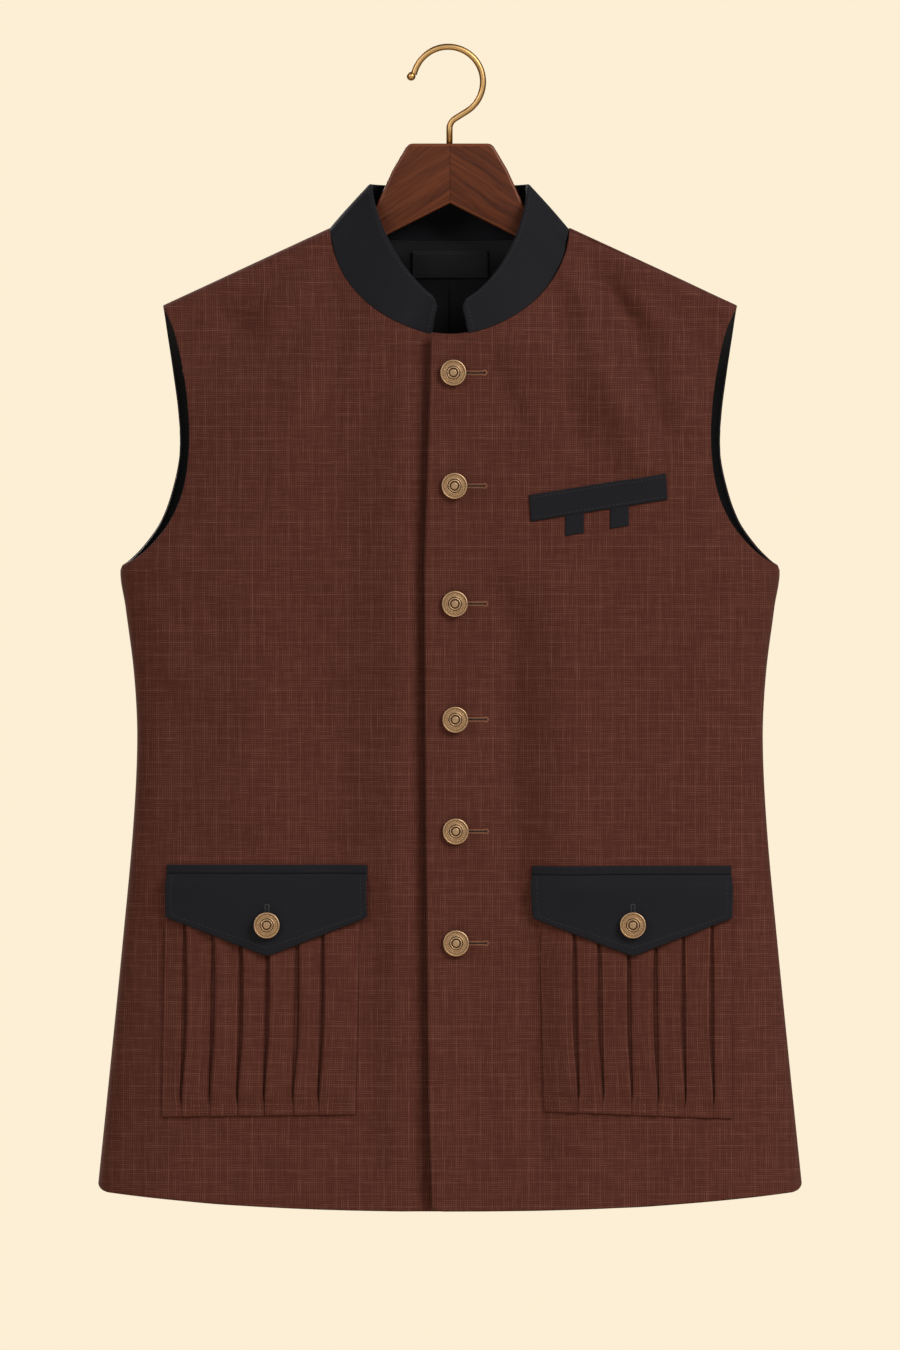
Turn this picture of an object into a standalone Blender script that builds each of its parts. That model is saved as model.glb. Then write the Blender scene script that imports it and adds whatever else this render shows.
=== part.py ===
"""A sleeveless Nehru jacket, buttoned up and hung on a wooden hanger.

The origin is where a rod bears, at the inner top of the hanger's hook. +Z is up, the front of
the jacket faces -Y, and +X is the wearer's left. Sizes here are in millimetres, and the meshes
are made in metres.
"""

from math import acos, cos, exp, hypot, pi, radians, sin

import bmesh
import bpy
from mathutils import Vector

MM = 0.001

# Cloth walls, and the gap that neighbouring pieces keep.
CLOTH = 1.8
LINING = 1.0
BAND = 2.6
TRIM = 1.5
GAP = 0.35
EASE = 0.3

# Shoulders: the cloth folds over the hanger's arms along two straight slopes.
NECK_HALF = 91.6
NECK_TOP = -139.0
SHOULDER_SLOPE = 0.4615
RIDGE_RADIUS = 10.5
NECK_OPENING = 14.0
FRONT_FALL = 110.0
BACK_FALL = 70.0
FALL_AT_NECK = 0.7

# Neckline and stand collar.
NECK_DROP = 81.0
NECK_ROUND = 1.9
BACK_NECK_DROP = 6.0
COLLAR_GAP_FRONT = 1.3
COLLAR_GAP_BACK = 1.8
COLLAR_END = 14.0
COLLAR_TOP_HALF = 60.5
COLLAR_TOP = -106.0
COLLAR_TOP_DROP = 92.0
COLLAR_TOP_ROUND = {"left": 1.7, "right": 1.52}
COLLAR_TOP_FRONT = 39.0
COLLAR_TOP_BACK = 22.0

# The front closure: the left front laps over the right one.
UNDERLAP_EDGE = 20.0
UNDERLAP_DIP = 3.6
UNDERLAP_FROM = -52.0
UNDERLAP_TO = -20.0

# The hollow body of the jacket. A row is a level section, from the neck down to the hem.
SECTION_POWER = 2.6
BODY_COLUMNS = ("height", "half_width", "front_depth", "back_depth")
BODY = (
    (-100.0, 240.0, 43.0, 34.0),
    (-199.0, 236.0, 44.0, 36.0),
    (-250.0, 228.0, 45.5, 38.0),
    (-297.0, 223.0, 46.0, 38.5),
    (-345.0, 229.0, 46.0, 38.5),
    (-375.0, 241.0, 45.5, 38.0),
    (-399.0, 252.6, 45.0, 37.5),
    (-430.0, 249.0, 44.0, 36.5),
    (-480.0, 242.6, 42.5, 35.0),
    (-531.0, 239.9, 41.0, 33.5),
    (-600.0, 243.0, 42.0, 34.5),
    (-690.0, 251.2, 44.0, 36.5),
    (-800.0, 262.2, 47.0, 39.5),
    (-900.0, 272.5, 50.0, 42.5),
)

# Armhole edges, from the tip of the shoulder down to the underarm.
ARMHOLE_COLUMNS = ("height", "front_edge", "back_edge")
ARMHOLE = (
    (-199.0, 221.4, 221.4),
    (-217.0, 213.3, 218.8),
    (-248.0, 205.9, 214.0),
    (-280.0, 201.6, 209.8),
    (-310.0, 201.2, 208.6),
    (-340.0, 205.6, 214.4),
    (-364.0, 215.6, 223.2),
    (-382.0, 229.5, 235.4),
    (-393.0, 242.0, 245.6),
    (-399.0, 252.6, 252.6),
)

# The lapped edge of the left front, and the level of the hem across the jacket.
FRONT_EDGE_COLUMNS = ("height", "edge")
FRONT_EDGE = (
    (-221.0, -13.0),
    (-271.0, -17.5),
    (-363.0, -18.3),
    (-810.0, -14.6),
    (-893.0, -11.9),
)
HEM_AT_CENTRE = -891.0
HEM_RISE = 15.0
HEM_HALF = 272.0
LINING_HEM = 18.0
LINING_INSET = 5.0
LINING_SINK = 2.8

# How far in front of the ridge the shoulder seam starts at the neck. It ends on the ridge.
SEAM_FORWARD = {"left": 6.0, "right": 2.0}

# The largest folds of the cloth: soft ridges, and troughs where the height is negative.
# A row is a panel, the fold's two ends as x and z, its half width and its height.
FOLDS = (
    ("front", 97.0, -152.0, 122.0, -214.0, 13.0, 3.4),
    ("front", 122.0, -214.0, 158.0, -318.0, 18.0, 3.0),
    ("front", 140.0, -172.0, 182.0, -300.0, 17.0, -3.0),
    ("front", 84.0, -196.0, 104.0, -300.0, 15.0, -2.0),
    ("front", -96.0, -154.0, -146.0, -232.0, 15.0, -2.6),
    ("front", -122.0, -150.0, -176.0, -250.0, 16.0, 2.4),
    ("front", 118.0, -420.0, 132.0, -620.0, 24.0, 2.2),
    ("front", -150.0, -430.0, -168.0, -600.0, 26.0, 2.0),
    ("back", -100.0, -160.0, -150.0, -300.0, 17.0, 2.8),
    ("back", 104.0, -160.0, 140.0, -310.0, 18.0, 3.0),
    ("back", 30.0, -420.0, 42.0, -700.0, 26.0, 2.4),
    ("back", -92.0, -480.0, -104.0, -760.0, 28.0, -2.4),
)

# Patch pockets: a cut of cloth with knife pleats, whose folds face the side seam.
POCKETS = {
    "right": {"outer_top": 218.7, "inner_top": 69.3, "outer_foot": 221.4, "inner_foot": 72.8,
              "top": -648.0, "outer_low": -823.9, "inner_low": -821.9},
    "left": {"outer_top": 216.2, "inner_top": 69.7, "outer_foot": 216.9, "inner_foot": 73.5,
             "top": -648.0, "outer_low": -825.4, "inner_low": -819.7},
}
PLEATS = (14.7, 36.6, 58.0, 78.6, 101.0, 120.6)
PLEAT_RISE = 1.6
PLEAT_STEP = 1.2
POCKET_WALL = 1.2
POCKET_HEM = 9.0
POCKET_ROWS = (0.0, 0.04, 0.08, 0.5, 1.0)

# Pocket flaps, each hanging from a narrow welt, with a point in the middle.
FLAPS = {
    "right": {"outer": 219.1, "inner": 64.3, "top": -629.4, "side_low": -670.1, "tip": -700.3},
    "left": {"outer": 216.2, "inner": 64.1, "top": -630.3, "side_low": -670.8, "tip": -700.4},
}
FLAP_WELT_HEIGHT = 6.2
FLAP_LIFT = 4.4
FLAP_BEND = 10.0

# The slanted breast welt and the two tabs that show under it.
WELT_LOW_INNER = (62.1, -364.7)
WELT_LOW_OUTER = (167.4, -347.8)
WELT_LEAN = 1.5
WELT_HEIGHT = 20.4
TAB_CENTRES = (95.9, 130.4)
TAB_WIDTH = 14.4
TAB_DROP = 15.4

# A bare patch on the lining under the back neck.
LABEL = 0.8
LABEL_SINK = 4.3
LABEL_HALF = 30.0
LABEL_TOP = -154.0
LABEL_HEIGHT = 20.5

# Buttons down the front, and one on each flap.
BUTTON_HEIGHTS = (-250.3, -337.3, -428.1, -517.4, -603.7, -689.9)
BUTTON_LINE_TOP = 2.3
BUTTON_LINE_LOW = 3.9
FLAP_BUTTON_HEIGHT = -675.2
# A button's outline from its crown to its shank's foot: radius, rise.
BUTTON_PROFILE = (
    (0.0, 5.6),
    (2.0, 5.2),
    (2.6, 4.6),
    (5.0, 4.9),
    (9.4, 4.4),
    (10.0, 3.5),
    (9.4, 2.2),
    (3.2, 1.9),
    (3.0, 0.0),
    (0.0, 0.0),
)
BUTTON_STEPS = 18

# The hanger: one flat board with a raised middle and two arms, chamfered all round.
HANGER_THICK = 11.0
HANGER_EDGE = 2.6
# Half of its outline: x, z and the radius of the corner.
HANGER_HALF = (
    (0.0, -72.4, 0.0),
    (32.4, -72.4, 7.0),
    (44.0, -92.0, 40.0),
    (61.0, -129.0, 12.0),
    (96.0, -153.0, 60.0),
    (206.0, -199.0, 7.0),
    (200.5, -213.0, 9.0),
    (60.0, -149.0, 60.0),
    (0.0, -118.6, 0.0),
)
BORE_RADIUS = 2.9
BORE_DEPTH = 16.0

# The hook: round wire bent to an arc, with a small ball on its end.
WIRE_RADIUS = 2.4
HOOK_CENTRE = (-1.5, -24.6)
HOOK_RADIUS = 27.0
HOOK_TIP_ANGLE = 176.0
HOOK_FOOT_ANGLE = -66.0
HOOK_ARC_STEPS = 22
HOOK_TIP_FLARE = 1.6
HOOK_BEND_DROP = 5.0
STEM_X = -0.4
BALL_RADIUS = 3.4


def smooth(rows, columns, name, at):
    """The named column at the height `at`, on a smooth curve through the table's rows."""
    column = columns.index(name)
    heights = [row[0] for row in rows]
    values = [row[column] for row in rows]
    if at >= heights[0]:
        return values[0]
    if at <= heights[-1]:
        return values[-1]
    i = next(k for k in range(len(rows) - 1) if heights[k + 1] <= at)
    step = heights[i + 1] - heights[i]

    def slope(k):
        before, after = max(k - 1, 0), min(k + 1, len(rows) - 1)
        return (values[after] - values[before]) / (heights[after] - heights[before])

    t = (at - heights[i]) / step
    start = values[i] * (1 + 2 * t) * (1 - t) ** 2 + values[i + 1] * t * t * (3 - 2 * t)
    bend = step * t * (1 - t) * (slope(i) * (1 - t) - slope(i + 1) * t)
    return start + bend


def ease(t):
    t = min(max(t, 0.0), 1.0)
    return t * t * (3 - 2 * t)


def mix(a, b, t):
    return a + (b - a) * t


def ridge(x):
    """Height of the fold over the hanger's arms, rounded over between the neck points."""
    x = abs(x)
    if x > NECK_HALF:
        return NECK_TOP - SHOULDER_SLOPE * (x - NECK_HALF)
    return NECK_TOP + SHOULDER_SLOPE * (NECK_HALF**2 - x * x) / (2 * NECK_HALF)


def ridge_radius(x):
    """Radius of the fold over the arms, which opens out between the neck points."""
    return RIDGE_RADIUS + NECK_OPENING * max(1 - (x / NECK_HALF) ** 2, 0.0)


def along_cloth(x, z):
    """Distance along the cloth from the ridge down to the level z."""
    drop = max(ridge(x) - z, 0.0)
    radius = ridge_radius(x)
    if drop < radius:
        return radius * acos(1 - drop / radius)
    return radius * (pi / 2 - 1) + drop


def level(x, s):
    """The height of a point `s` along the cloth from the ridge."""
    s = abs(s)
    radius = ridge_radius(x)
    if s < radius * pi / 2:
        return ridge(x) - radius * (1 - cos(s / radius))
    return ridge(x) - s + radius * (pi / 2 - 1)


def fold_height(panel, x, z):
    total = 0.0
    for where, x0, z0, x1, z1, spread, height in FOLDS:
        if where != panel:
            continue
        run = Vector((x1 - x0, z1 - z0))
        reach = run.length
        offset = Vector((x - x0, z - z0))
        t = offset.dot(run) / reach**2
        across = (offset - run * min(max(t, 0.0), 1.0)).length
        fade = ease(t * 4 + 0.5) * ease((1 - t) * 3 + 0.5)
        total += height * fade * exp(-((across / spread) ** 2))
    return total


def half_width(z):
    return smooth(BODY, BODY_COLUMNS, "half_width", z)


def depth(panel, x, s):
    """How far the cloth's inner face stands from the hanger's plane."""
    z = level(x, s)
    radius = ridge_radius(x)
    if abs(s) < radius * pi / 2:
        return radius * sin(s / radius)
    across = min(abs(x) / half_width(z), 1.0)
    full = smooth(BODY, BODY_COLUMNS, panel + "_depth", z)
    full *= (1 - across**SECTION_POWER) ** (1 / SECTION_POWER)
    fall = FRONT_FALL if panel == "front" else BACK_FALL
    near_neck = max(1 - (x / NECK_HALF) ** 2, 0.0)
    fall *= 1 - (1 - FALL_AT_NECK) * near_neck
    share = ease((ridge(x) - z - radius) / fall)
    flat = 1 - across**8
    return mix(radius, full, share) + fold_height(panel, x, z) * share * flat


def front_skin(piece, x, s):
    """A point of a front's inner face. The right front dips under the left one."""
    y = -depth("front", x, s)
    if piece == "right":
        y += UNDERLAP_DIP * ease((x - UNDERLAP_FROM) / (UNDERLAP_TO - UNDERLAP_FROM))
    return Vector((x, y, level(x, s)))


def back_skin(x, s):
    return Vector((x, depth("back", x, s), level(x, s)))


def outward(surface, x, s, distance):
    """The surface's point, moved out along its normal. Fronts face -Y and the back +Y."""
    step = 0.5
    across = surface(x + step, s) - surface(x - step, s)
    down = surface(x, s + step) - surface(x, s - step)
    normal = down.cross(across).normalized()
    middle = surface(x, s)
    if normal.y * middle.y < 0:
        normal = -normal
    return middle + normal * distance


def on_front(piece, x, z, lift):
    """A point `lift` above the outer face of a front, clear of it by the gap."""
    return outward(lambda a, b: front_skin(piece, a, b), x, along_cloth(x, z), CLOTH + GAP + lift)


def neckline(x):
    """Height of the front neckline."""
    part = min(abs(x) / NECK_HALF, 1.0)
    return NECK_TOP - NECK_DROP * (1 - part**NECK_ROUND) ** (1 / NECK_ROUND)


def back_neckline(x):
    return NECK_TOP - BACK_NECK_DROP * (1 - (x / NECK_HALF) ** 4)


def hem(x):
    return HEM_AT_CENTRE + HEM_RISE * (abs(x) / HEM_HALF) ** 2.4


def walk(path, part):
    """The point at a share of the length of a path of (x, s) points."""
    lengths = [hypot(b[0] - a[0], b[1] - a[1]) for a, b in zip(path, path[1:])]
    left = part * sum(lengths)
    for (a, b), length in zip(zip(path, path[1:]), lengths):
        if left <= length:
            t = left / length if length else 0.0
            return mix(a[0], b[0], t), mix(a[1], b[1], t)
        left -= length
    return path[-1]


STEPS = 48
LOWER_ROWS = 15
UPPER_ROWS = 11
ROWS = LOWER_ROWS + UPPER_ROWS
SPLIT = LOWER_ROWS / ROWS
UNDERARM = ARMHOLE[-1][0]
TIP = ARMHOLE[0][1]
FRONT_COLUMNS = 12
SHOULDER_COLUMNS = 6
NECK_COLUMNS = 10


def climb(v):
    """Share of the way from the underarm to the shoulder, closer together near the ridge."""
    return 1 - (1 - (v - SPLIT) / (1 - SPLIT)) ** 1.6


def armhole_path(column):
    """From the underarm up to the tip of the shoulder, as (x, s)."""
    points = []
    for k in range(STEPS + 1):
        z = mix(UNDERARM, ARMHOLE[0][0], k / STEPS)
        x = smooth(ARMHOLE, ARMHOLE_COLUMNS, column, z)
        points.append((x, along_cloth(x, z)))
    return points


def front_edge(side, z):
    """Distance of a front's own edge from the centre line, towards its own side seam."""
    if side == "left":
        return smooth(FRONT_EDGE, FRONT_EDGE_COLUMNS, "edge", z)
    return -UNDERLAP_EDGE


def seam_forward(side, x):
    return SEAM_FORWARD[side] * ease((TIP - abs(x)) / (TIP - NECK_HALF))


def neck_path(side):
    """From the underarm's level up a front's edge and round the neckline to the shoulder seam."""
    start = front_edge(side, neckline(0))
    points = [(front_edge(side, UNDERARM), along_cloth(0, UNDERARM))]
    for k in range(STEPS + 1):
        x = mix(start, NECK_HALF, sin(pi / 2 * k / STEPS))
        points.append((x, max(along_cloth(x, neckline(x)), SEAM_FORWARD[side] + GAP / 2)))
    return points


def coons(left, right, bottom, top, u, v):
    """The (x, s) of a patch between its four edges."""
    corners = (left(0), right(0), left(1), right(1))
    shares = ((1 - u) * (1 - v), u * (1 - v), (1 - u) * v, u * v)
    point = []
    for axis in (0, 1):
        edges = mix(left(v)[axis], right(v)[axis], u) + mix(bottom(u)[axis], top(u)[axis], v)
        point.append(edges - sum(corner[axis] * share for corner, share in zip(corners, shares)))
    return point


def front_place(side):
    """A front: u runs from its front edge to its side, v from the hem to the shoulder."""
    sign = 1 if side == "left" else -1
    neck = neck_path(side)
    arm = armhole_path("front_edge")

    def inner(v):
        if v >= SPLIT:
            return walk(neck, climb(v))
        z = mix(HEM_AT_CENTRE, UNDERARM, v / SPLIT)
        x = front_edge(side, z)
        return x, along_cloth(x, z)

    def outer(v):
        if v >= SPLIT:
            return walk(arm, climb(v))
        z = mix(hem(HEM_HALF), UNDERARM, v / SPLIT)
        x = half_width(z)
        return x, along_cloth(x, z)

    def bottom(u):
        x = mix(inner(0)[0], outer(0)[0], u)
        return x, along_cloth(x, hem(x))

    def top(u):
        x = mix(inner(1)[0], TIP, u)
        return x, seam_forward(side, x) + GAP / 2

    def place(u, v):
        x, s = coons(inner, outer, bottom, top, sin(u * pi / 2), v)
        point = front_skin(side, sign * x, s)
        point.y = min(point.y, -GAP / 2)
        return point

    return place


def back_place():
    """The back: u runs from the wearer's left to right, v from the hem to the shoulder."""
    arm = armhole_path("back_edge")
    neck_share = NECK_COLUMNS / (NECK_COLUMNS + 2 * SHOULDER_COLUMNS)
    shoulder_share = (1 - neck_share) / 2

    def left(v):
        if v >= SPLIT:
            x, s = walk(arm, climb(v))
            return x, max(s, GAP / 2)
        z = mix(hem(HEM_HALF), UNDERARM, v / SPLIT)
        x = half_width(z)
        return x, along_cloth(x, z)

    def right(v):
        x, s = left(v)
        return -x, s

    def bottom(u):
        x = left(0)[0] * cos(pi * u)
        return x, along_cloth(x, hem(x))

    def top(u):
        side = "left" if u < 0.5 else "right"
        if shoulder_share < u < 1 - shoulder_share:
            x = NECK_HALF * cos(pi * (u - shoulder_share) / neck_share)
            return x, max(along_cloth(x, back_neckline(x)), GAP / 2)
        x = mix(TIP, NECK_HALF, (min(u, 1 - u) / shoulder_share) ** 1.3)
        return (x if side == "left" else -x), GAP / 2 - seam_forward(side, x)

    def place(u, v):
        x, s = coons(left, right, bottom, top, u, v)
        point = back_skin(x, s)
        if s > 0:
            point.y = max(point.y, GAP / 2)
        return point

    return place


def sheet(across, up, place):
    """Rows of points of a sheet, from its lowest row up."""
    return [[place(u, v) for u in across] for v in up]


def moved(rows, distance):
    """The sheet's points moved along its normals, to the side it faces."""
    result = []
    for j, row in enumerate(rows):
        below, above = rows[max(j - 1, 0)], rows[min(j + 1, len(rows) - 1)]
        line = []
        for i, point in enumerate(row):
            across = row[min(i + 1, len(row) - 1)] - row[max(i - 1, 0)]
            line.append(point + across.cross(above[i] - below[i]).normalized() * distance)
        result.append(line)
    return result


def trimmed(rows, edge, foot):
    """The sheet cut back by `edge` at its sides and top, and by `foot` at its hem."""

    def pulled(a, b, amount):
        return a + (b - a).normalized() * amount

    rows = [list(row) for row in rows]
    rows[0] = [pulled(a, b, foot) for a, b in zip(rows[0], rows[1])]
    rows[-1] = [pulled(a, b, edge) for a, b in zip(rows[-1], rows[-2])]
    for row in rows:
        row[0] = pulled(row[0], row[1], edge)
        row[-1] = pulled(row[-1], row[-2], edge)
    return rows


def collar_seam(fronts, back):
    """The neck edge, from the left front end of the collar round to the right one.

    It is read from the panels' own edges. A row gives the point, and which panel holds it.
    """
    halves = {}
    for side, sign in (("left", 1), ("right", -1)):
        edge = [row[0] for row in fronts[side]]
        start = next(k for k, point in enumerate(edge) if sign * point.x > COLLAR_END)
        before, after = edge[start - 1], edge[start]
        first = before.lerp(after, (sign * COLLAR_END - before.x) / (after.x - before.x))
        halves[side] = [(point, side) for point in [first, *edge[start:]]]
    neck = back[-1][SHOULDER_COLUMNS + 1 : -SHOULDER_COLUMNS - 1]
    return halves["left"] + [(point, "back") for point in neck] + halves["right"][::-1]


def collar(seam, up):
    """Rows of the stand collar, from its seam up to its top edge."""
    rows = [[] for _ in up]
    for point, panel in seam:
        share = min(abs(point.x) / NECK_HALF, 1.0)
        reach = (1 - share**2) ** 0.42
        if panel == "back":
            height, y = COLLAR_TOP, COLLAR_TOP_BACK * reach
        else:
            power = COLLAR_TOP_ROUND[panel]
            height = COLLAR_TOP - COLLAR_TOP_DROP * (1 - share**power) ** (1 / power)
            y = -COLLAR_TOP_FRONT * reach
        top = Vector((COLLAR_TOP_HALF * point.x / NECK_HALF, y, height))
        gap = mix(COLLAR_GAP_BACK, COLLAR_GAP_FRONT, ease(0.5 - point.y / 40.0))
        base = point + (top - point).normalized() * gap
        for row, v in zip(rows, up):
            row.append(base.lerp(top, v))
    return rows


def pocket_place(side):
    """A patch pocket: u runs from its outer edge inwards, v from its foot to its mouth."""
    size = POCKETS[side]
    sign = 1 if side == "left" else -1
    wide = size["outer_top"] - size["inner_top"]

    def place(u, v):
        outer = mix(size["outer_foot"], size["outer_top"], v)
        inner = mix(size["inner_foot"], size["inner_top"], v)
        low = mix(size["outer_low"], size["inner_low"], u)
        x = mix(outer, inner, u)
        z = mix(low, size["top"], v)
        edges = [fold for fold in PLEATS if fold <= u * wide + 1e-6]
        rise = 0.0
        if edges:
            after = PLEATS[len(edges)] if len(edges) < len(PLEATS) else wide
            rise = PLEAT_RISE * (after - u * wide) / (after - edges[-1])
        rise *= 0.4 + 0.6 * ease((z - low) / POCKET_HEM - 0.5)
        return on_front(side, sign * x, z, rise)

    return place, wide


def flap_place(side):
    """A pocket flap: u runs from its outer edge inwards, v from its point up to its welt."""
    size = FLAPS[side]
    sign = 1 if side == "left" else -1
    top = size["top"] - FLAP_WELT_HEIGHT - 3 * GAP

    def place(u, v):
        low = mix(size["tip"], size["side_low"], abs(2 * u - 1))
        z = mix(low, top, v)
        x = mix(size["outer"], size["inner"], u)
        return on_front(side, sign * x, z, EASE + FLAP_LIFT * ease((top - z) / FLAP_BEND))

    return place


def flap_welt_place(side):
    size = FLAPS[side]
    sign = 1 if side == "left" else -1

    def place(u, v):
        x = mix(size["outer"], size["inner"], u)
        return on_front(side, sign * x, size["top"] - FLAP_WELT_HEIGHT * (1 - v), EASE)

    return place


def breast_level(x):
    """Height of the lower edge of the breast welt."""
    share = (x - WELT_LOW_INNER[0]) / (WELT_LOW_OUTER[0] - WELT_LOW_INNER[0])
    return mix(WELT_LOW_INNER[1], WELT_LOW_OUTER[1], share)


def breast_welt_place(u, v):
    x = mix(WELT_LOW_INNER[0], WELT_LOW_OUTER[0], u) - WELT_LEAN * v
    return on_front("left", x, breast_level(x + WELT_LEAN * v) + WELT_HEIGHT * v, EASE)


def breast_tab_place(centre):
    def place(u, v):
        x = centre + TAB_WIDTH * (u - 0.5)
        z = breast_level(x) - GAP - TAB_DROP * (1 - v)
        return on_front("left", x, z, 0.0)

    return place


def label_place(u, v):
    x = LABEL_HALF * (1 - 2 * u)
    z = LABEL_TOP - LABEL_HEIGHT * (1 - v)
    return outward(back_skin, x, along_cloth(x, z), -(LABEL_SINK + LABEL))


def evenly(count):
    return [k / count for k in range(count + 1)]


def pleat_stations(wide):
    """Columns of a pocket: two at each fold, and one in the middle of each strip."""
    edges = [0.0, *PLEATS, wide]
    stations = [0.0]
    for start, end in zip(edges, edges[1:]):
        last = end - (PLEAT_STEP if end != wide else 0.0)
        stations += [(start + last) / 2, last, end] if end != wide else [end]
    return [station / wide for station in stations]


def finish(name, colour, roughness, metallic=0.0):
    """A plain material of this colour."""
    material = bpy.data.materials.get(name) or bpy.data.materials.new(name)
    material.use_nodes = True
    shader = material.node_tree.nodes["Principled BSDF"]
    shader.inputs["Base Color"].default_value = (*colour, 1.0)
    shader.inputs["Roughness"].default_value = roughness
    shader.inputs["Metallic"].default_value = metallic
    return material


def add(name, mesh, material, collection):
    mesh.shade_smooth()
    mesh.set_sharp_from_angle(angle=radians(38))
    mesh.materials.clear()
    mesh.materials.append(material)
    obj = bpy.data.objects.new(name, mesh)
    collection.objects.link(obj)
    return obj


def cloth(name, rows, wall, material, collection):
    """A sheet of cloth through rows of points, thickened into a wall on the side it faces."""
    bm = bmesh.new()
    across, up = len(rows[0]) - 1, len(rows) - 1
    bmesh.ops.create_grid(bm, x_segments=across, y_segments=up, size=0.5)
    for vert in bm.verts:
        column = round((vert.co.x + 0.5) * across)
        vert.co = rows[round((vert.co.y + 0.5) * up)][column] * MM
    bmesh.ops.triangulate(bm, faces=bm.faces, quad_method="FIXED")
    mesh = bpy.data.meshes.new(name)
    bm.to_mesh(mesh)
    bm.free()
    obj = add(name, mesh, material, collection)
    thicken = obj.modifiers.new("wall", "SOLIDIFY")
    thicken.thickness = wall * MM
    thicken.offset = 1.0
    return obj


def button(name, place, normal, collection, material):
    """A turned button with a raised centre, a ring and a rim, standing on its shank."""
    bm = bmesh.new()
    points = [bm.verts.new((radius * MM, 0.0, rise * MM)) for radius, rise in BUTTON_PROFILE]
    for a, b in zip(points, points[1:]):
        bm.edges.new((a, b))
    mesh = bpy.data.meshes.new(name)
    bm.to_mesh(mesh)
    bm.free()
    obj = add(name, mesh, material, collection)
    turn = obj.modifiers.new("turned", "SCREW")
    turn.steps = BUTTON_STEPS
    turn.render_steps = BUTTON_STEPS
    turn.use_merge_vertices = True
    turn.merge_threshold = 0.00001
    obj.location = place * MM
    obj.rotation_mode = "QUATERNION"
    obj.rotation_quaternion = Vector((0.0, 0.0, 1.0)).rotation_difference(normal)
    return obj


def rounded(corners, steps=4):
    """A closed outline of (x, z) points with each corner of (x, z, radius) rounded."""
    points = []
    count = len(corners)
    for i, (x, z, radius) in enumerate(corners):
        here = Vector((x, z))
        if radius == 0:
            points.append(here)
            continue
        back = (Vector(corners[i - 1][:2]) - here).normalized()
        ahead = (Vector(corners[(i + 1) % count][:2]) - here).normalized()
        half = back.angle(ahead) / 2
        cut = radius * cos(half) / sin(half)
        start, end = here + back * cut, here + ahead * cut
        for k in range(steps + 1):
            t = k / steps
            points.append(start * (1 - t) ** 2 + here * 2 * t * (1 - t) + end * t * t)
    return points


def curve_mesh(name, points, cyclic, closed_2d, bevel):
    """The mesh of a curve, with its caps welded."""
    curve = bpy.data.curves.new(name, "CURVE")
    curve.dimensions = "2D" if closed_2d else "3D"
    curve.fill_mode = "BOTH" if closed_2d else "FULL"
    spline = curve.splines.new("POLY")
    spline.points.add(len(points) - 1)
    for point, place in zip(spline.points, points):
        point.co = (*(place * MM), 1.0)
    spline.use_cyclic_u = cyclic
    if closed_2d:
        curve.extrude = bevel * MM
    else:
        curve.bevel_depth = bevel * MM
        curve.bevel_resolution = 2
        curve.use_fill_caps = True
    holder = bpy.data.objects.new(name, curve)
    bpy.context.scene.collection.objects.link(holder)
    bpy.context.view_layer.update()
    mesh = bpy.data.meshes.new_from_object(holder.evaluated_get(bpy.context.evaluated_depsgraph_get()))
    bpy.data.objects.remove(holder)
    bpy.data.curves.remove(curve)
    bm = bmesh.new()
    bm.from_mesh(mesh)
    bmesh.ops.remove_doubles(bm, verts=bm.verts, dist=0.00001)
    bmesh.ops.recalc_face_normals(bm, faces=bm.faces)
    bm.to_mesh(mesh)
    bm.free()
    return mesh


def cutter(name, mesh, target, operation, collection):
    """A helper shape that a Boolean takes from the target, or joins to it."""
    helper = bpy.data.objects.new(name, mesh)
    helper.hide_render = True
    helper.display_type = "WIRE"
    collection.objects.link(helper)
    boolean = target.modifiers.new(name, "BOOLEAN")
    boolean.operation = operation
    boolean.solver = "EXACT"
    boolean.object = helper
    return helper


def hanger(collection, cutters, wood):
    """The board is cut to its outline, stood upright, and its edges eased."""
    left_half = [(-x, z, radius) for x, z, radius in reversed(HANGER_HALF[1:-1])]
    outline = rounded(list(HANGER_HALF) + left_half)
    flat = [Vector((point.x, point.y, 0.0)) for point in outline]
    mesh = curve_mesh("hanger", flat, True, True, HANGER_THICK / 2)
    for vert in mesh.vertices:
        vert.co = (vert.co.x, -vert.co.z, vert.co.y)
    board = add("hanger", mesh, wood, collection)
    eased = board.modifiers.new("eased edges", "BEVEL")
    eased.width = HANGER_EDGE * MM
    eased.segments = 2
    eased.limit_method = "ANGLE"
    eased.angle_limit = radians(60)
    bm = bmesh.new()
    bmesh.ops.create_cone(bm, cap_ends=True, segments=16, radius1=BORE_RADIUS * MM,
                          radius2=BORE_RADIUS * MM, depth=2 * BORE_DEPTH * MM)
    bmesh.ops.translate(bm, verts=bm.verts, vec=Vector((STEM_X, 0.0, HANGER_HALF[0][1])) * MM)
    bore = bpy.data.meshes.new("hook_bore")
    bm.to_mesh(bore)
    bm.free()
    cutter("hook_bore", bore, board, "DIFFERENCE", cutters)
    return board


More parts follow.
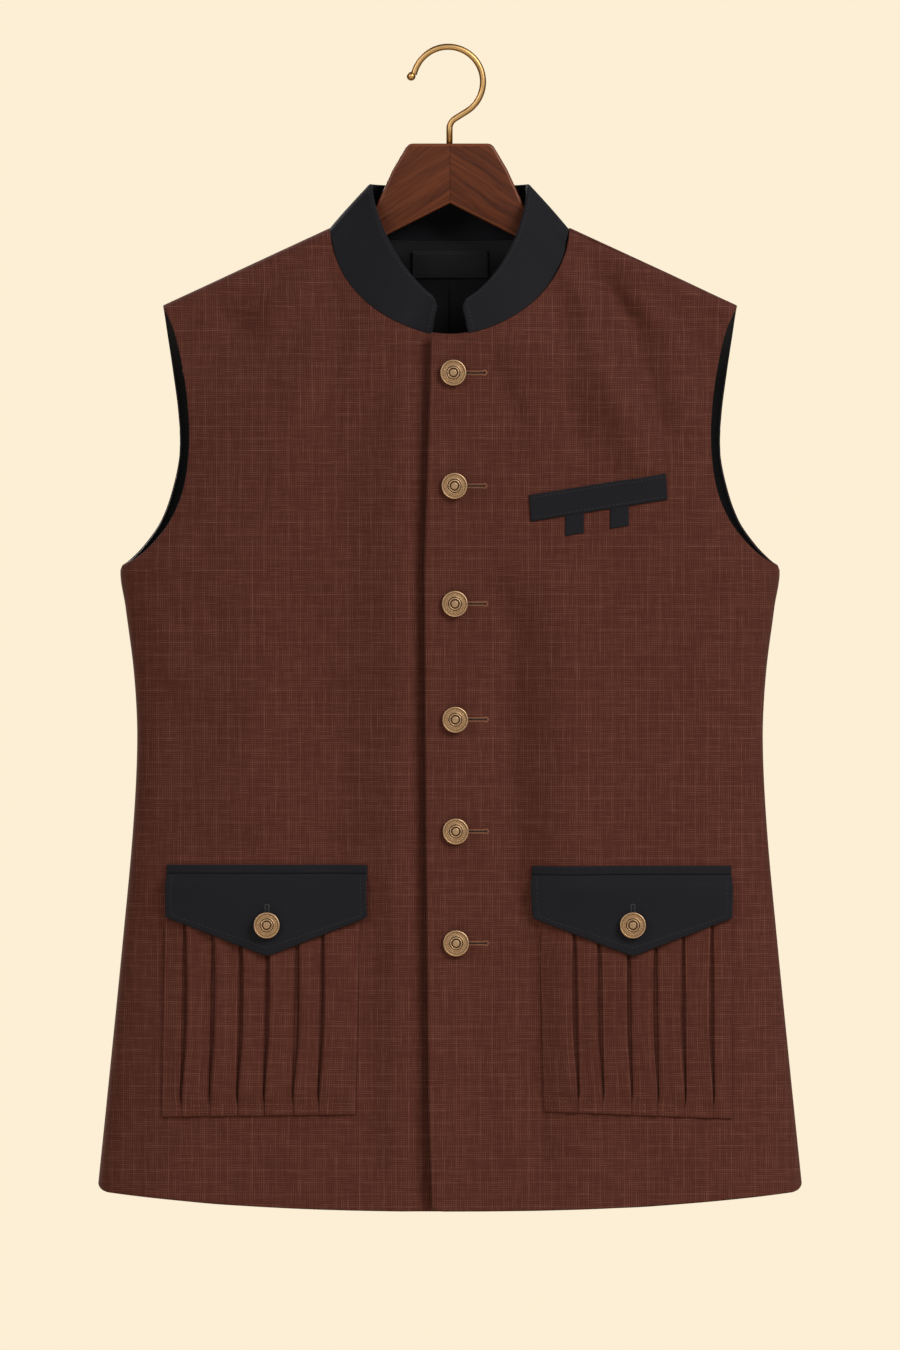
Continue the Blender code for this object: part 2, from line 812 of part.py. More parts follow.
def hook_route():
    """From the ball, over the arc, and by a reverse bend into the stem."""
    centre = Vector((HOOK_CENTRE[0], 0.0, HOOK_CENTRE[1]))
    points = []
    for k in range(HOOK_ARC_STEPS + 1):
        angle = radians(mix(HOOK_TIP_ANGLE, HOOK_FOOT_ANGLE, k / HOOK_ARC_STEPS))
        points.append(centre + Vector((cos(angle), 0.0, sin(angle))) * HOOK_RADIUS)
    points[0].x -= HOOK_TIP_FLARE
    foot = points[-1]
    corner = Vector((STEM_X, 0.0, foot.z - HOOK_BEND_DROP))
    end = Vector((STEM_X, 0.0, foot.z - 2 * HOOK_BEND_DROP))
    for k in range(1, 6):
        t = k / 5
        points.append(foot * (1 - t) ** 2 + corner * 2 * t * (1 - t) + end * t * t)
    points.append(Vector((STEM_X, 0.0, HANGER_HALF[0][1] - BORE_DEPTH + GAP)))
    return points


def hanger_hook(collection, cutters, brass):
    route = hook_route()
    mesh = curve_mesh("hanger_hook", route, False, False, WIRE_RADIUS)
    wire = add("hanger_hook", mesh, brass, collection)
    bm = bmesh.new()
    bmesh.ops.create_uvsphere(bm, u_segments=14, v_segments=9, radius=BALL_RADIUS * MM)
    bmesh.ops.translate(bm, verts=bm.verts, vec=route[0] * MM)
    ball = bpy.data.meshes.new("hook_ball")
    bm.to_mesh(ball)
    bm.free()
    cutter("hook_ball", ball, wire, "UNION", cutters)
    return wire


def button_spot(x, z, side, lift):
    """Where a button's shank meets a front's face, and the way it points."""
    low = on_front(side, x, z, lift)
    high = on_front(side, x, z, lift + 1)
    return low, (high - low).normalized()


def main():
    for obj in list(bpy.data.objects):
        bpy.data.objects.remove(obj)
    parts = bpy.data.collections.new("nehru_jacket_on_hanger")
    cutters = bpy.data.collections.new("cutters")
    for collection in (parts, cutters):
        bpy.context.scene.collection.children.link(collection)
    cutters.hide_render = True

    check = finish("brown check cloth", (0.086, 0.026, 0.017), 0.85)
    black = finish("black suiting", (0.016, 0.016, 0.019), 0.8)
    satin = finish("black lining", (0.009, 0.009, 0.009), 0.55)
    brass = finish("antique brass", (0.36, 0.22, 0.09), 0.35, 1.0)
    walnut = finish("walnut", (0.107, 0.032, 0.017), 0.4)

    def facing(side, rows):
        """Rows that were laid out from the side seam inwards, turned to face the front."""
        return [row[::-1] for row in rows] if side == "left" else rows

    rows = evenly(ROWS)
    fronts = {side: sheet(evenly(FRONT_COLUMNS), rows, front_place(side)) for side in ("left", "right")}
    cloth("front_left", fronts["left"], CLOTH, check, parts)
    cloth("front_right", [row[::-1] for row in fronts["right"]], CLOTH, check, parts)
    back = sheet(evenly(NECK_COLUMNS + 2 * SHOULDER_COLUMNS), rows, back_place())
    cloth("back", back, CLOTH, check, parts)
    lining = trimmed(moved(back, -LINING_SINK), LINING_INSET, LINING_HEM)
    cloth("back_lining", lining, LINING, satin, parts)
    cloth("label", sheet(evenly(4), evenly(3), label_place), LABEL, black, parts)
    cloth("collar", collar(collar_seam(fronts, back), evenly(3)), BAND, black, parts)

    cloth("breast_welt", sheet(evenly(8), evenly(1), breast_welt_place), TRIM, black, parts)
    for number, centre in enumerate(TAB_CENTRES, 1):
        tab = sheet(evenly(2), evenly(1), breast_tab_place(centre))
        cloth(f"breast_tab_{number}", tab, TRIM, black, parts)

    for side in ("left", "right"):
        place, wide = pocket_place(side)
        patch = sheet(pleat_stations(wide), POCKET_ROWS, place)
        cloth("pocket_" + side, facing(side, patch), POCKET_WALL, check, parts)
        flap = sheet(evenly(12), evenly(4), flap_place(side))
        cloth("flap_" + side, facing(side, flap), TRIM, black, parts)
        strip = sheet(evenly(12), evenly(1), flap_welt_place(side))
        cloth("pocket_welt_" + side, facing(side, strip), TRIM, black, parts)

    first, last = BUTTON_HEIGHTS[0], BUTTON_HEIGHTS[-1]
    for number, z in enumerate(BUTTON_HEIGHTS, 1):
        x = mix(BUTTON_LINE_TOP, BUTTON_LINE_LOW, (z - first) / (last - first))
        spot, normal = button_spot(x, z, "left", EASE)
        button(f"button_front_{number}", spot, normal, parts, brass)
    for side, sign in (("left", 1), ("right", -1)):
        x = sign * (FLAPS[side]["outer"] + FLAPS[side]["inner"]) / 2
        spot, normal = button_spot(x, FLAP_BUTTON_HEIGHT, side, FLAP_LIFT + TRIM + 2 * GAP)
        button("button_flap_" + side, spot, normal, parts, brass)

    hanger(parts, cutters, walnut)
    hanger_hook(parts, cutters, brass)


main()
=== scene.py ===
"""The looks of a sleeveless Nehru jacket, buttoned up and hung on a wooden hanger.

The frame is the part's own: the rod bears at the origin, +Z is up, the front faces -Y and +X is
the wearer's left. Sizes are in millimetres, and become metres where a mesh is made.
"""

from math import asin, cos, hypot, pi, radians, sin

import bpy
import numpy as np
from mathutils import Matrix, Vector


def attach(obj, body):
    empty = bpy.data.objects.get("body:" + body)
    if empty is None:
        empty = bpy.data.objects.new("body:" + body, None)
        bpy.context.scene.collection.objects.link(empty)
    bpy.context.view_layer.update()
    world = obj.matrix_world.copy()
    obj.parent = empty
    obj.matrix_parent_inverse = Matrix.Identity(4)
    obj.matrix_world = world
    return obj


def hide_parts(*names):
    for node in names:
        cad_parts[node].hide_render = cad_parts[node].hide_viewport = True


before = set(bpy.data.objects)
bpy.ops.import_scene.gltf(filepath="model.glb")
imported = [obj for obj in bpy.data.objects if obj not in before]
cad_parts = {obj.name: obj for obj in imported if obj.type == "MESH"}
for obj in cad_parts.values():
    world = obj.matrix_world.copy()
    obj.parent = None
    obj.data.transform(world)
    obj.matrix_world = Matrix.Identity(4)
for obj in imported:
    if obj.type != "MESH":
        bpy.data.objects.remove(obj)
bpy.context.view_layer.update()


# ---- The two fronts ---------------------------------------------------------------------------
# Each front is one cut of brown checked worsted, backed with black lining. The left one laps over
# the right. They are seamed to the back down the sides and along the shoulders, where the cloth
# folds over the hanger's arms, and are free at the armhole, the hem and their own front edges.

MM = 0.001
WALL = 1.8
LEFT, RIGHT = 1, -1
NECK_HALF = 91.6
NECK_TOP = -139.0
SHOULDER_SLOPE = 0.4615
RIDGE_RADIUS = 10.5
NECK_OPENING = 14.0
FALL = {"front": 110.0, "back": 70.0}
FALL_AT_NECK = 0.7
CREASE_FREE = 34.0
SECTION_POWER = 2.6
NECK_DROP = 81.0
NECK_ROUND = 1.9
SEAM_FORWARD = {LEFT: 6.0, RIGHT: 2.0}
UNDERLAP_EDGE = 20.0
UNDERLAP_DIP = 9.5
UNDERLAP_FROM = -40.0
UNDERLAP_TO = -20.0
FACING, FACING_WIDE = 1.5, 45.0
SIDE_POWER = 8

# Level sections of the hollow body: height, half width, depth in front, depth behind.
HALF_WIDTH, FRONT_DEPTH, BACK_DEPTH = 1, 2, 3
BODY = (
    (-100.0, 240.0, 43.0, 34.0),
    (-199.0, 236.0, 44.0, 36.0),
    (-250.0, 228.0, 45.5, 38.0),
    (-297.0, 223.0, 46.0, 38.5),
    (-345.0, 229.0, 46.0, 38.5),
    (-375.0, 241.0, 45.5, 38.0),
    (-399.0, 252.6, 45.0, 37.5),
    (-430.0, 249.0, 44.0, 36.5),
    (-480.0, 242.6, 42.5, 35.0),
    (-531.0, 239.9, 41.0, 33.5),
    (-600.0, 243.0, 42.0, 34.5),
    (-690.0, 251.2, 44.0, 36.5),
    (-800.0, 262.2, 47.0, 39.5),
    (-900.0, 272.5, 50.0, 42.5),
)
# The armhole: height, the front's edge, the back's edge.
FRONT_ARMHOLE, BACK_ARMHOLE = 1, 2
ARMHOLE = (
    (-199.0, 221.4, 221.4),
    (-217.0, 213.3, 218.8),
    (-248.0, 205.9, 214.0),
    (-280.0, 201.6, 209.8),
    (-310.0, 201.2, 208.6),
    (-340.0, 205.6, 214.4),
    (-364.0, 215.6, 223.2),
    (-382.0, 229.5, 235.4),
    (-393.0, 242.0, 245.6),
    (-399.0, 252.6, 252.6),
)
TIP, TIP_HEIGHT, UNDERARM = ARMHOLE[0][1], ARMHOLE[0][0], ARMHOLE[-1][0]
# The lapped edge of the left front: height, distance from the centre line.
LAPPED_EDGE = ((-221.0, -14.5), (-271.0, -19.5), (-363.0, -20.3), (-810.0, -16.6), (-893.0, -13.9))
HEM_AT_CENTRE = -891.0
HEM_RISE, HEM_POWER = 15.0, 2.4
HEM_HALF = 272.0
HEM_CORNER = 6.0

# Creases, as soft ridges and, where the height is negative, troughs. A row is a crease's two
# ends, as x and z, its half width and its height. It fades out over a part of its length at each end.
FIRST_FADE, LAST_FADE, LEFT_AT_END = 4.0, 3.0, 0.5
CREASES = {
    "front": (
        # The left shoulder, where the cloth is drawn from the neck towards the armhole.
        (88, -152, 112, -214, 12, 8.6),
        (112, -214, 148, -322, 16, 8.4),
        (121, -170, 165, -300, 14, -8.6),
        (76, -196, 98, -306, 12, -4.4),
        (141, -178, 182, -236, 11, 5.4),
        (160, -190, 198, -238, 8, -3.0),
        (64, -226, 72, -318, 16, 1.9),
        (166, -236, 196, -330, 12, 2.0),
        # The right shoulder.
        (-120, -156, -172, -216, 14, -6.8),
        (-98, -156, -146, -214, 14, 6.4),
        (-104, -200, -128, -330, 15, 1.9),
        (-160, -196, -192, -262, 8, -2.0),
        (-80, -205, -96, -268, 9, -1.7),
        # Below the two ends of the collar.
        (30, -238, 56, -292, 9, -2.6),
        (-36, -236, -64, -300, 12, -4.0),
        (14, -232, 34, -262, 5, 0.8),
        # The underarms.
        (214, -412, 168, -448, 9, -1.9),
        (226, -430, 196, -500, 11, 1.7),
        (-210, -404, -176, -446, 9, -2.2),
        (-232, -424, -206, -492, 10, 1.9),
        (196, -366, 180, -410, 7, -1.2),
        (-196, -352, -182, -404, 8, -1.4),
        # The left front, between the buttons, the breast welt and the pocket.
        (44, -418, 50, -660, 16, -6.8),
        (84, -410, 96, -650, 24, 6.2),
        (92, -440, 98, -560, 10, 1.2),
        (176, -470, 186, -606, 15, -1.9),
        (214, -520, 204, -600, 10, -1.9),
        (40, -330, 46, -420, 12, 1.2),
        (62, -690, 68, -872, 12, -5.6),
        (48, -720, 44, -880, 13, 1.4),
        (228, -700, 240, -880, 9, -1.6),
        # The right front.
        (-88, -250, -90, -640, 24, -3.1),
        (-62, -640, -56, -868, 13, -2.0),
        (-150, -430, -168, -600, 26, 3.1),
        (-112, -420, -118, -560, 14, -1.4),
        (-206, -500, -214, -610, 13, -1.7),
        (-90, -340, -98, -420, 14, 1.2),
        (-232, -706, -246, -884, 10, -1.6),
        (-26, -262, -26, -893, 34, 9.0),
        # The hem, which waves a little.
        (100, -846, 104, -893, 18, 1.9),
        (150, -840, 150, -893, 16, -1.6),
        (-120, -842, -120, -893, 18, 1.7),
        (-178, -838, -182, -891, 15, -1.7),
    ),
    "back": (
        (-100, -160, -150, -300, 17, 3.6),
        (104, -160, 140, -310, 18, 3.9),
        (30, -420, 42, -700, 26, 3.1),
        (-92, -480, -104, -760, 28, -3.1),
        (60, -150, 84, -236, 10, -2.1),
        (-56, -152, -76, -226, 9, -1.8),
        (-30, -156, -34, -250, 12, 1.6),
        (24, -158, 30, -230, 10, -1.2),
        (168, -190, 186, -300, 11, -2.3),
        (-172, -196, -190, -290, 12, -2.0),
        (0, -200, -6, -470, 16, 1.8),
        (-44, -300, -52, -520, 14, -1.7),
        (84, -330, 78, -540, 15, -2.1),
        (-140, -330, -150, -470, 16, 2.0),
        (216, -412, 160, -452, 10, -2.1),
        (-214, -408, -164, -440, 9, -1.8),
        (228, -440, 190, -520, 12, 2.0),
        (-230, -446, -196, -540, 13, 1.7),
        (150, -540, 142, -800, 18, -2.5),
        (96, -600, 100, -860, 17, 2.1),
        (204, -600, 216, -870, 16, 2.2),
        (-30, -560, -24, -850, 17, -2.0),
        (-160, -600, -172, -866, 18, 2.5),
        (-220, -560, -236, -880, 14, -2.1),
        (60, -760, 62, -890, 14, -1.6),
        (-70, -770, -74, -890, 13, 1.6),
        (124, -820, 126, -890, 12, -1.7),
        (-126, -800, -130, -890, 13, -1.8),
    ),
}


def smooth(rows, column, at):
    """A column of a table at the heights `at`, on a smooth curve through its rows."""
    heights = np.array([row[0] for row in rows])[::-1]
    values = np.array([row[column] for row in rows])[::-1]
    before = np.maximum(np.arange(len(rows)) - 1, 0)
    after = np.minimum(np.arange(len(rows)) + 1, len(rows) - 1)
    slopes = (values[after] - values[before]) / (heights[after] - heights[before])
    at = np.clip(at, heights[0], heights[-1])
    i = np.clip(np.searchsorted(heights, at) - 1, 0, len(rows) - 2)
    step = heights[i + 1] - heights[i]
    t = (at - heights[i]) / step
    level_part = values[i] * (1 + 2 * t) * (1 - t) ** 2 + values[i + 1] * t * t * (3 - 2 * t)
    return level_part + step * t * (1 - t) * (slopes[i] * (1 - t) - slopes[i + 1] * t)


def ease(t):
    """From 0 to 1 with a soft start and a soft end."""
    t = np.clip(t, 0.0, 1.0)
    return t * t * (3 - 2 * t)


def mix(a, b, t):
    """From a to b by the share t."""
    return a + (b - a) * t


def ridge(x):
    """Height of the fold over the hanger's arms, rounded over between the neck points."""
    x = np.abs(x)
    slope = NECK_TOP - SHOULDER_SLOPE * (x - NECK_HALF)
    crown = NECK_TOP + SHOULDER_SLOPE * (NECK_HALF**2 - x * x) / (2 * NECK_HALF)
    return np.where(x > NECK_HALF, slope, crown)


def ridge_radius(x):
    """Radius of that fold, which opens out between the neck points."""
    return RIDGE_RADIUS + NECK_OPENING * np.maximum(1 - (x / NECK_HALF) ** 2, 0.0)


def along_cloth(x, z):
    """Distance along the cloth from the ridge down to the height z."""
    drop = np.maximum(ridge(x) - z, 0.0)
    radius = ridge_radius(x)
    bent = radius * np.arccos(1 - np.minimum(drop / radius, 1.0))
    return np.where(drop < radius, bent, radius * (pi / 2 - 1) + drop)


def level(x, s):
    """The height of a point `s` along the cloth from the ridge."""
    s = np.abs(s)
    radius = ridge_radius(x)
    bent = ridge(x) - radius * (1 - np.cos(np.minimum(s / radius, pi / 2)))
    return np.where(s < radius * pi / 2, bent, ridge(x) - s + radius * (pi / 2 - 1))


def crease_height(panel, x, z):
    """How far a panel's creases lift the cloth, all together."""
    total = np.zeros(np.broadcast(x, z).shape)
    for x0, z0, x1, z1, half, height in CREASES[panel]:
        run_x, run_z = x1 - x0, z1 - z0
        t = ((x - x0) * run_x + (z - z0) * run_z) / (run_x**2 + run_z**2)
        held = np.clip(t, 0.0, 1.0)
        across = np.hypot(x - x0 - run_x * held, z - z0 - run_z * held)
        fade = ease(t * FIRST_FADE + LEFT_AT_END) * ease((1 - t) * LAST_FADE + LEFT_AT_END)
        total += height * fade * np.exp(-((across / half) ** 2))
    return total


def half_width(z):
    """Distance of the side seam from the centre line."""
    return smooth(BODY, HALF_WIDTH, z)


def section(panel, x, z):
    """Depth of the hollow body's level section at x."""
    across = np.minimum(np.abs(x) / half_width(z), 1.0)
    full = smooth(BODY, FRONT_DEPTH if panel == "front" else BACK_DEPTH, z)
    return full * (1 - across**SECTION_POWER) ** (1 / SECTION_POWER)


def depth(panel, x, s):
    """How far the cloth's inner face stands from the hanger's plane."""
    z = level(x, s)
    radius = ridge_radius(x)
    near_neck = np.maximum(1 - (x / NECK_HALF) ** 2, 0.0)
    fall = FALL[panel] * (1 - (1 - FALL_AT_NECK) * near_neck)
    share = ease((ridge(x) - z - radius) / fall)
    flat = 1 - np.minimum(np.abs(x) / half_width(z), 1.0) ** SIDE_POWER
    free = ease((ridge(x) - z - radius) / CREASE_FREE) * flat
    hung = mix(radius, section(panel, x, z), share) + crease_height(panel, x, z) * free
    return np.where(np.abs(s) < radius * pi / 2, radius * np.sin(s / radius), hung)


def front_skin(side, x, s):
    """Points of a front's inner face. The right front dips under the left one."""
    y = -depth("front", x, s)
    if side == RIGHT:
        y = y + UNDERLAP_DIP * ease((x - UNDERLAP_FROM) / (UNDERLAP_TO - UNDERLAP_FROM))
    return np.stack(np.broadcast_arrays(x, y, level(x, s)), axis=-1)


def back_skin(x, s):
    """Points of the back's inner face."""
    return np.stack(np.broadcast_arrays(x, depth("back", x, s), level(x, s)), axis=-1)


def unit(vectors):
    """Vectors at length 1."""
    return vectors / np.maximum(np.linalg.norm(vectors, axis=-1, keepdims=True), 1e-9)


def outward(surface, x, s, lift):
    """Points of a surface moved out along its normals, and those normals."""
    x, s = np.broadcast_arrays(np.asarray(x, float), np.asarray(s, float))
    step = 0.5
    across = surface(x + step, s) - surface(x - step, s)
    down = surface(x, s + step) - surface(x, s - step)
    normals = unit(np.cross(down, across))
    middle = surface(x, s)
    turn = np.sign(normals[..., 1] * middle[..., 1])
    normals = normals * np.where(turn < 0, -1.0, 1.0)[..., None]
    return middle + normals * np.asarray(lift, float)[..., None], normals


def on_front(side, x, z, lift):
    """Points `lift` above the outer face of a front, and the way it faces there."""
    return outward(lambda a, b: front_skin(side, a, b), x, along_cloth(x, z), WALL + lift)


def neckline(x):
    """Height of the fronts' neckline."""
    part = np.minimum(np.abs(x) / NECK_HALF, 1.0)
    return NECK_TOP - NECK_DROP * (1 - part**NECK_ROUND) ** (1 / NECK_ROUND)


def round_corner(distance, radius):
    """How far a corner of this radius stands back at a distance from its end."""
    inside = np.clip(radius - distance, 0.0, radius)
    return radius - np.sqrt(radius**2 - inside**2)


def hem(x, ends=()):
    """Height of the hem, lifted round the corners at its ends."""
    height = HEM_AT_CENTRE + HEM_RISE * (np.abs(x) / HEM_HALF) ** HEM_POWER
    for end in ends:
        height = height + round_corner(np.abs(x - end), HEM_CORNER)
    return height


def front_edge(side, z):
    """Distance of a front's own edge from the centre line, towards its own side seam."""
    if side == LEFT:
        return smooth(LAPPED_EDGE, 1, z)
    return np.full(np.shape(z), -UNDERLAP_EDGE)


def seam_forward(side, x):
    """How far in front of the ridge the shoulder seam runs."""
    return SEAM_FORWARD[side] * ease((TIP - np.abs(x)) / (TIP - NECK_HALF))


def lengths_of(path):
    """Distance along a path of each of its points."""
    return np.concatenate([[0.0], np.cumsum(np.linalg.norm(np.diff(path, axis=0), axis=1))])


def points_at(at, lengths, path):
    """The points at these distances along a path."""
    return np.stack([np.interp(at, lengths, values) for values in path.T], axis=-1)


def walk(path, shares):
    """The points at these shares of the length of a path."""
    lengths = lengths_of(path)
    return points_at(np.asarray(shares) * lengths[-1], lengths, path)


# The share of a panel's rows that lie below the underarm.
LOWER_SHARE = 15 / 26
CLIMB_POWER = 1.6
PATH_POINTS = 97


def climb(v):
    """Share of the way from the underarm to the shoulder, closer together near the ridge."""
    return 1 - np.clip(1 - (v - LOWER_SHARE) / (1 - LOWER_SHARE), 0.0, 1.0) ** CLIMB_POWER


def armhole_path(column):
    """From the underarm up the armhole's edge to the shoulder."""
    z = np.linspace(UNDERARM, TIP_HEIGHT, PATH_POINTS)
    x = smooth(ARMHOLE, column, z)
    return np.stack([x, along_cloth(x, z)], axis=-1)


def neck_path(side):
    """From the underarm's level up a front's edge and round the neckline to the shoulder."""
    start = front_edge(side, neckline(0.0))
    x = mix(start, NECK_HALF, np.sin(np.linspace(0, pi / 2, PATH_POINTS)))
    s = np.maximum(along_cloth(x, neckline(x)), SEAM_FORWARD[side])
    low = front_edge(side, UNDERARM)
    return np.concatenate([[[low, along_cloth(low, UNDERARM)]], np.stack([x, s], axis=-1)])


def patch(left, right, bottom, top, u, v):
    """(x, s) of the points of a sheet between its four edges."""
    u, v = u[None, :, None], v[:, None, None]
    edges = mix(left[:, None], right[:, None], u) + mix(bottom[None], top[None], v)
    corners = mix(mix(bottom[0], bottom[-1], u), mix(top[0], top[-1], u), v)
    return edges - corners


def stations(length, step, turn=2.4):
    """Shares of a length, `step` apart, and closer together where the cloth turns at its ends."""
    near = turn * np.array([0.0, 0.12, 0.3, 0.6])
    middle = np.linspace(turn, length - turn, round((length - 2 * turn) / step) + 1)
    return np.concatenate([near, middle, length - near[::-1]]) / length


def side_points(side_table, v):
    """A panel's outer edge: the side seam up to the underarm, and the armhole above it."""
    z = mix(hem(HEM_HALF), UNDERARM, np.minimum(v / LOWER_SHARE, 1.0))
    seam = np.stack([half_width(z), along_cloth(half_width(z), z)], axis=-1)
    return np.where((v >= LOWER_SHARE)[:, None], walk(side_table, climb(v)), seam)


def front_layout(side, u, v):
    """(x, s) of a front's points, with x counted towards its own side seam."""
    z = mix(HEM_AT_CENTRE, UNDERARM, np.minimum(v / LOWER_SHARE, 1.0))
    edge = front_edge(side, z)
    lapped = np.stack([edge, along_cloth(edge, z)], axis=-1)
    inner = np.where((v >= LOWER_SHARE)[:, None], walk(neck_path(side), climb(v)), lapped)
    outer = side_points(armhole_path(FRONT_ARMHOLE), v)
    x = mix(inner[0, 0], outer[0, 0], u)
    bottom = np.stack([x, along_cloth(x, hem(x, (x[0], x[-1])))], axis=-1)
    x = mix(inner[-1, 0], TIP, u)
    top = np.stack([x, seam_forward(side, x)], axis=-1)
    inner[0], outer[0] = bottom[0], bottom[-1]
    return patch(inner, outer, bottom, top, u, v)


def flat_place(panel, x, s):
    """A point's place on the flat cut, in metres, for the pattern of the cloth to follow."""
    z = level(x, s)
    reach = x[..., None] * np.sin(np.linspace(0, pi / 2, 17))
    y = section(panel, reach, z[..., None])
    girth = np.hypot(np.diff(reach, axis=-1), np.diff(y, axis=-1)).sum(axis=-1)
    height = ridge(x) - s + ridge_radius(x) * (pi / 2 - 1)
    return np.stack([np.sign(x) * girth, height], axis=-1) * MM


def face_normals(points):
    """Unit normals of a sheet's points, which point along its rows crossed with its columns."""
    return unit(np.cross(np.gradient(points, axis=1), np.gradient(points, axis=0)))


def from_edges(points, edges=("start", "end", "foot", "top")):
    """Distance along the cloth of each point of a sheet from the nearest of its edges."""
    across = np.cumsum(np.linalg.norm(np.diff(points, axis=1, prepend=points[:, :1]), axis=2), axis=1)
    up = np.cumsum(np.linalg.norm(np.diff(points, axis=0, prepend=points[:1]), axis=2), axis=0)
    reach = {"start": across, "end": across[:, -1:] - across, "foot": up, "top": up[-1:] - up}
    return np.min([reach[edge] for edge in edges], axis=0)


TURN_RADIUS = 1.4


def turned(distance, wall, radius=TURN_RADIUS, rim=0.3):
    """Thickness of a wall whose edge is turned over in a round fold."""
    return wall * mix(rim, 1.0, np.sqrt(1 - (1 - np.clip(distance / radius, 0.0, 1.0)) ** 2))


def settle(obj, slot, *replaced):
    """Attaches a finished piece to what it moves with, and hides the parts it stands for. The slot is not
    used.
    """
    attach(obj, "root")
    if replaced:
        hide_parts(*replaced)
    return obj


def place_object(name, data):
    """Adds an object that holds this mesh, curve, lamp or camera."""
    obj = bpy.data.objects.new(name, data)
    bpy.context.scene.collection.objects.link(obj)
    return obj


def new_piece(name, points, faces, finishes, uv=None, which=None):
    """A smooth mesh object from points in millimetres and lists of each face's corners."""
    mesh = bpy.data.meshes.new(name)
    mesh.from_pydata((points.reshape(-1, 3) * MM).tolist(), [], faces)
    if uv is not None:
        corners = np.empty(len(mesh.loops), np.int32)
        mesh.loops.foreach_get("vertex_index", corners)
        layer = mesh.uv_layers.new(name="cloth")
        layer.data.foreach_set("uv", uv.reshape(-1, 2)[corners].astype(np.float32).ravel())
    if which is not None:
        mesh.polygons.foreach_set("material_index", which)
    for finish in finishes:
        mesh.materials.append(finish)
    mesh.shade_smooth()
    return place_object(name, mesh)


def shell(name, points, wall, uv, finishes, middle=False):
    """A closed wall of cloth on a sheet of points, which is its inner face or its middle.

    The wall stands on the side that the sheet faces. The finishes are the outer and inner face's.
    """
    rows, columns = points.shape[:2]
    lift = face_normals(points) * np.broadcast_to(wall, points.shape[:2])[..., None]
    outer, inner = (points + lift / 2, points - lift / 2) if middle else (points + lift, points)
    index = np.arange(rows * columns).reshape(rows, columns)
    face = np.stack([index[:-1, :-1], index[:-1, 1:], index[1:, 1:], index[1:, :-1]], axis=-1)
    face = face.reshape(-1, 4)
    around = np.concatenate([index[0, :-1], index[:-1, -1], index[-1, :0:-1], index[:0:-1, 0]])
    ahead = np.roll(around, -1)
    far = rows * columns
    rim = np.stack([around, around + far, ahead + far, ahead], axis=-1)
    faces = np.concatenate([face, face[:, ::-1] + far, rim])
    which = np.zeros(len(faces), np.int32)
    which[len(face) : 2 * len(face)] = len(finishes) - 1
    return new_piece(name, np.stack([outer, inner]), faces.tolist(), finishes, np.stack([uv, uv]), which)


def begin_finish(name, roughness, **constants):
    """A new material's node tree and its shader, with the values that are the same all over."""
    material = bpy.data.materials.new(name)
    material.use_nodes = True
    shader = material.node_tree.nodes["Principled BSDF"]
    shader.inputs["Roughness"].default_value = roughness
    for socket, value in constants.items():
        shader.inputs[socket.replace("_", " ")].default_value = value
    return material, material.node_tree, shader


def node(tree, kind, inputs=None, **settings):
    """Adds a node. An input is a number, a colour or another node's output."""
    made = tree.nodes.new("ShaderNode" + kind)
    for key, value in settings.items():
        setattr(made, key, value)
    for key, value in (inputs or {}).items():
        if isinstance(value, bpy.types.NodeSocket):
            tree.links.new(value, made.inputs[key])
        else:
            made.inputs[key].default_value = value
    return made


def calc(tree, operation, *values):
    """The output of a Math node."""
    return node(tree, "Math", dict(enumerate(values)), operation=operation).outputs[0]


def rescale(tree, value, low, high, to_low=0.0, to_high=1.0):
    """A value stretched from one range to another, with soft ends."""
    made = node(tree, "MapRange", {0: value, 1: low, 2: high, 3: to_low, 4: to_high},
                interpolation_type="SMOOTHSTEP")
    return made.outputs[0]


def noise(tree, scale, detail=2.0, vector=None):
    """Soft random mottle, from 0 to 1."""
    inputs = {"Scale": scale, "Detail": detail}
    if vector is not None:
        inputs["Vector"] = vector
    return node(tree, "TexNoise", inputs).outputs["Fac"]


def ramp(tree, value, *stops):
    """A colour ramp through (place, colour) stops."""
    made = node(tree, "ValToRGB", {"Fac": value})
    band = made.color_ramp
    while len(band.elements) < len(stops):
        band.elements.new(0.5)
    for element, (place, colour) in zip(band.elements, stops):
        element.position = place
        element.color = (*colour, 1.0)
    return made.outputs["Color"]


def bump(tree, shader, height, strength, distance):
    """Fine relief, `distance` metres high, in the shader's light."""
    made = node(tree, "Bump", {"Height": height, "Strength": strength, "Distance": distance})
    tree.links.new(made.outputs["Normal"], shader.inputs["Normal"])


# In metres, sideways and upwards: the repeats of the broken check and of the graph check. Then,
# for each, the length over which a thread's strength wanders.
THREAD_PITCH = (0.00176, 0.00168)
GRAPH_PITCH = (0.00925, 0.00925)
THREAD_RUN, GRAPH_RUN = 0.018, 0.030
CHECK_DARK = (0.050, 0.0118, 0.0075)
CHECK_GROUND = (0.087, 0.0258, 0.0172)
CHECK_LIGHT = (0.152, 0.059, 0.043)
SHEEN_TINT = (1.0, 0.78, 0.68, 1.0)


def threads(tree, across, along, pitch, seed, run):
    """Fine threads side by side, each with its own strength that wanders along its length."""
    count = calc(tree, "DIVIDE", across, pitch)
    wave = calc(tree, "MULTIPLY", calc(tree, "PINGPONG", count, 0.5), 2.0)
    own = calc(tree, "MULTIPLY_ADD", calc(tree, "FLOOR", count), 7.31, seed)
    place = node(tree, "CombineXYZ", {"X": own, "Y": calc(tree, "DIVIDE", along, run), "Z": seed})
    strength = rescale(tree, noise(tree, 1.0, 1.0, place.outputs[0]), 0.28, 0.72)
    return wave, strength


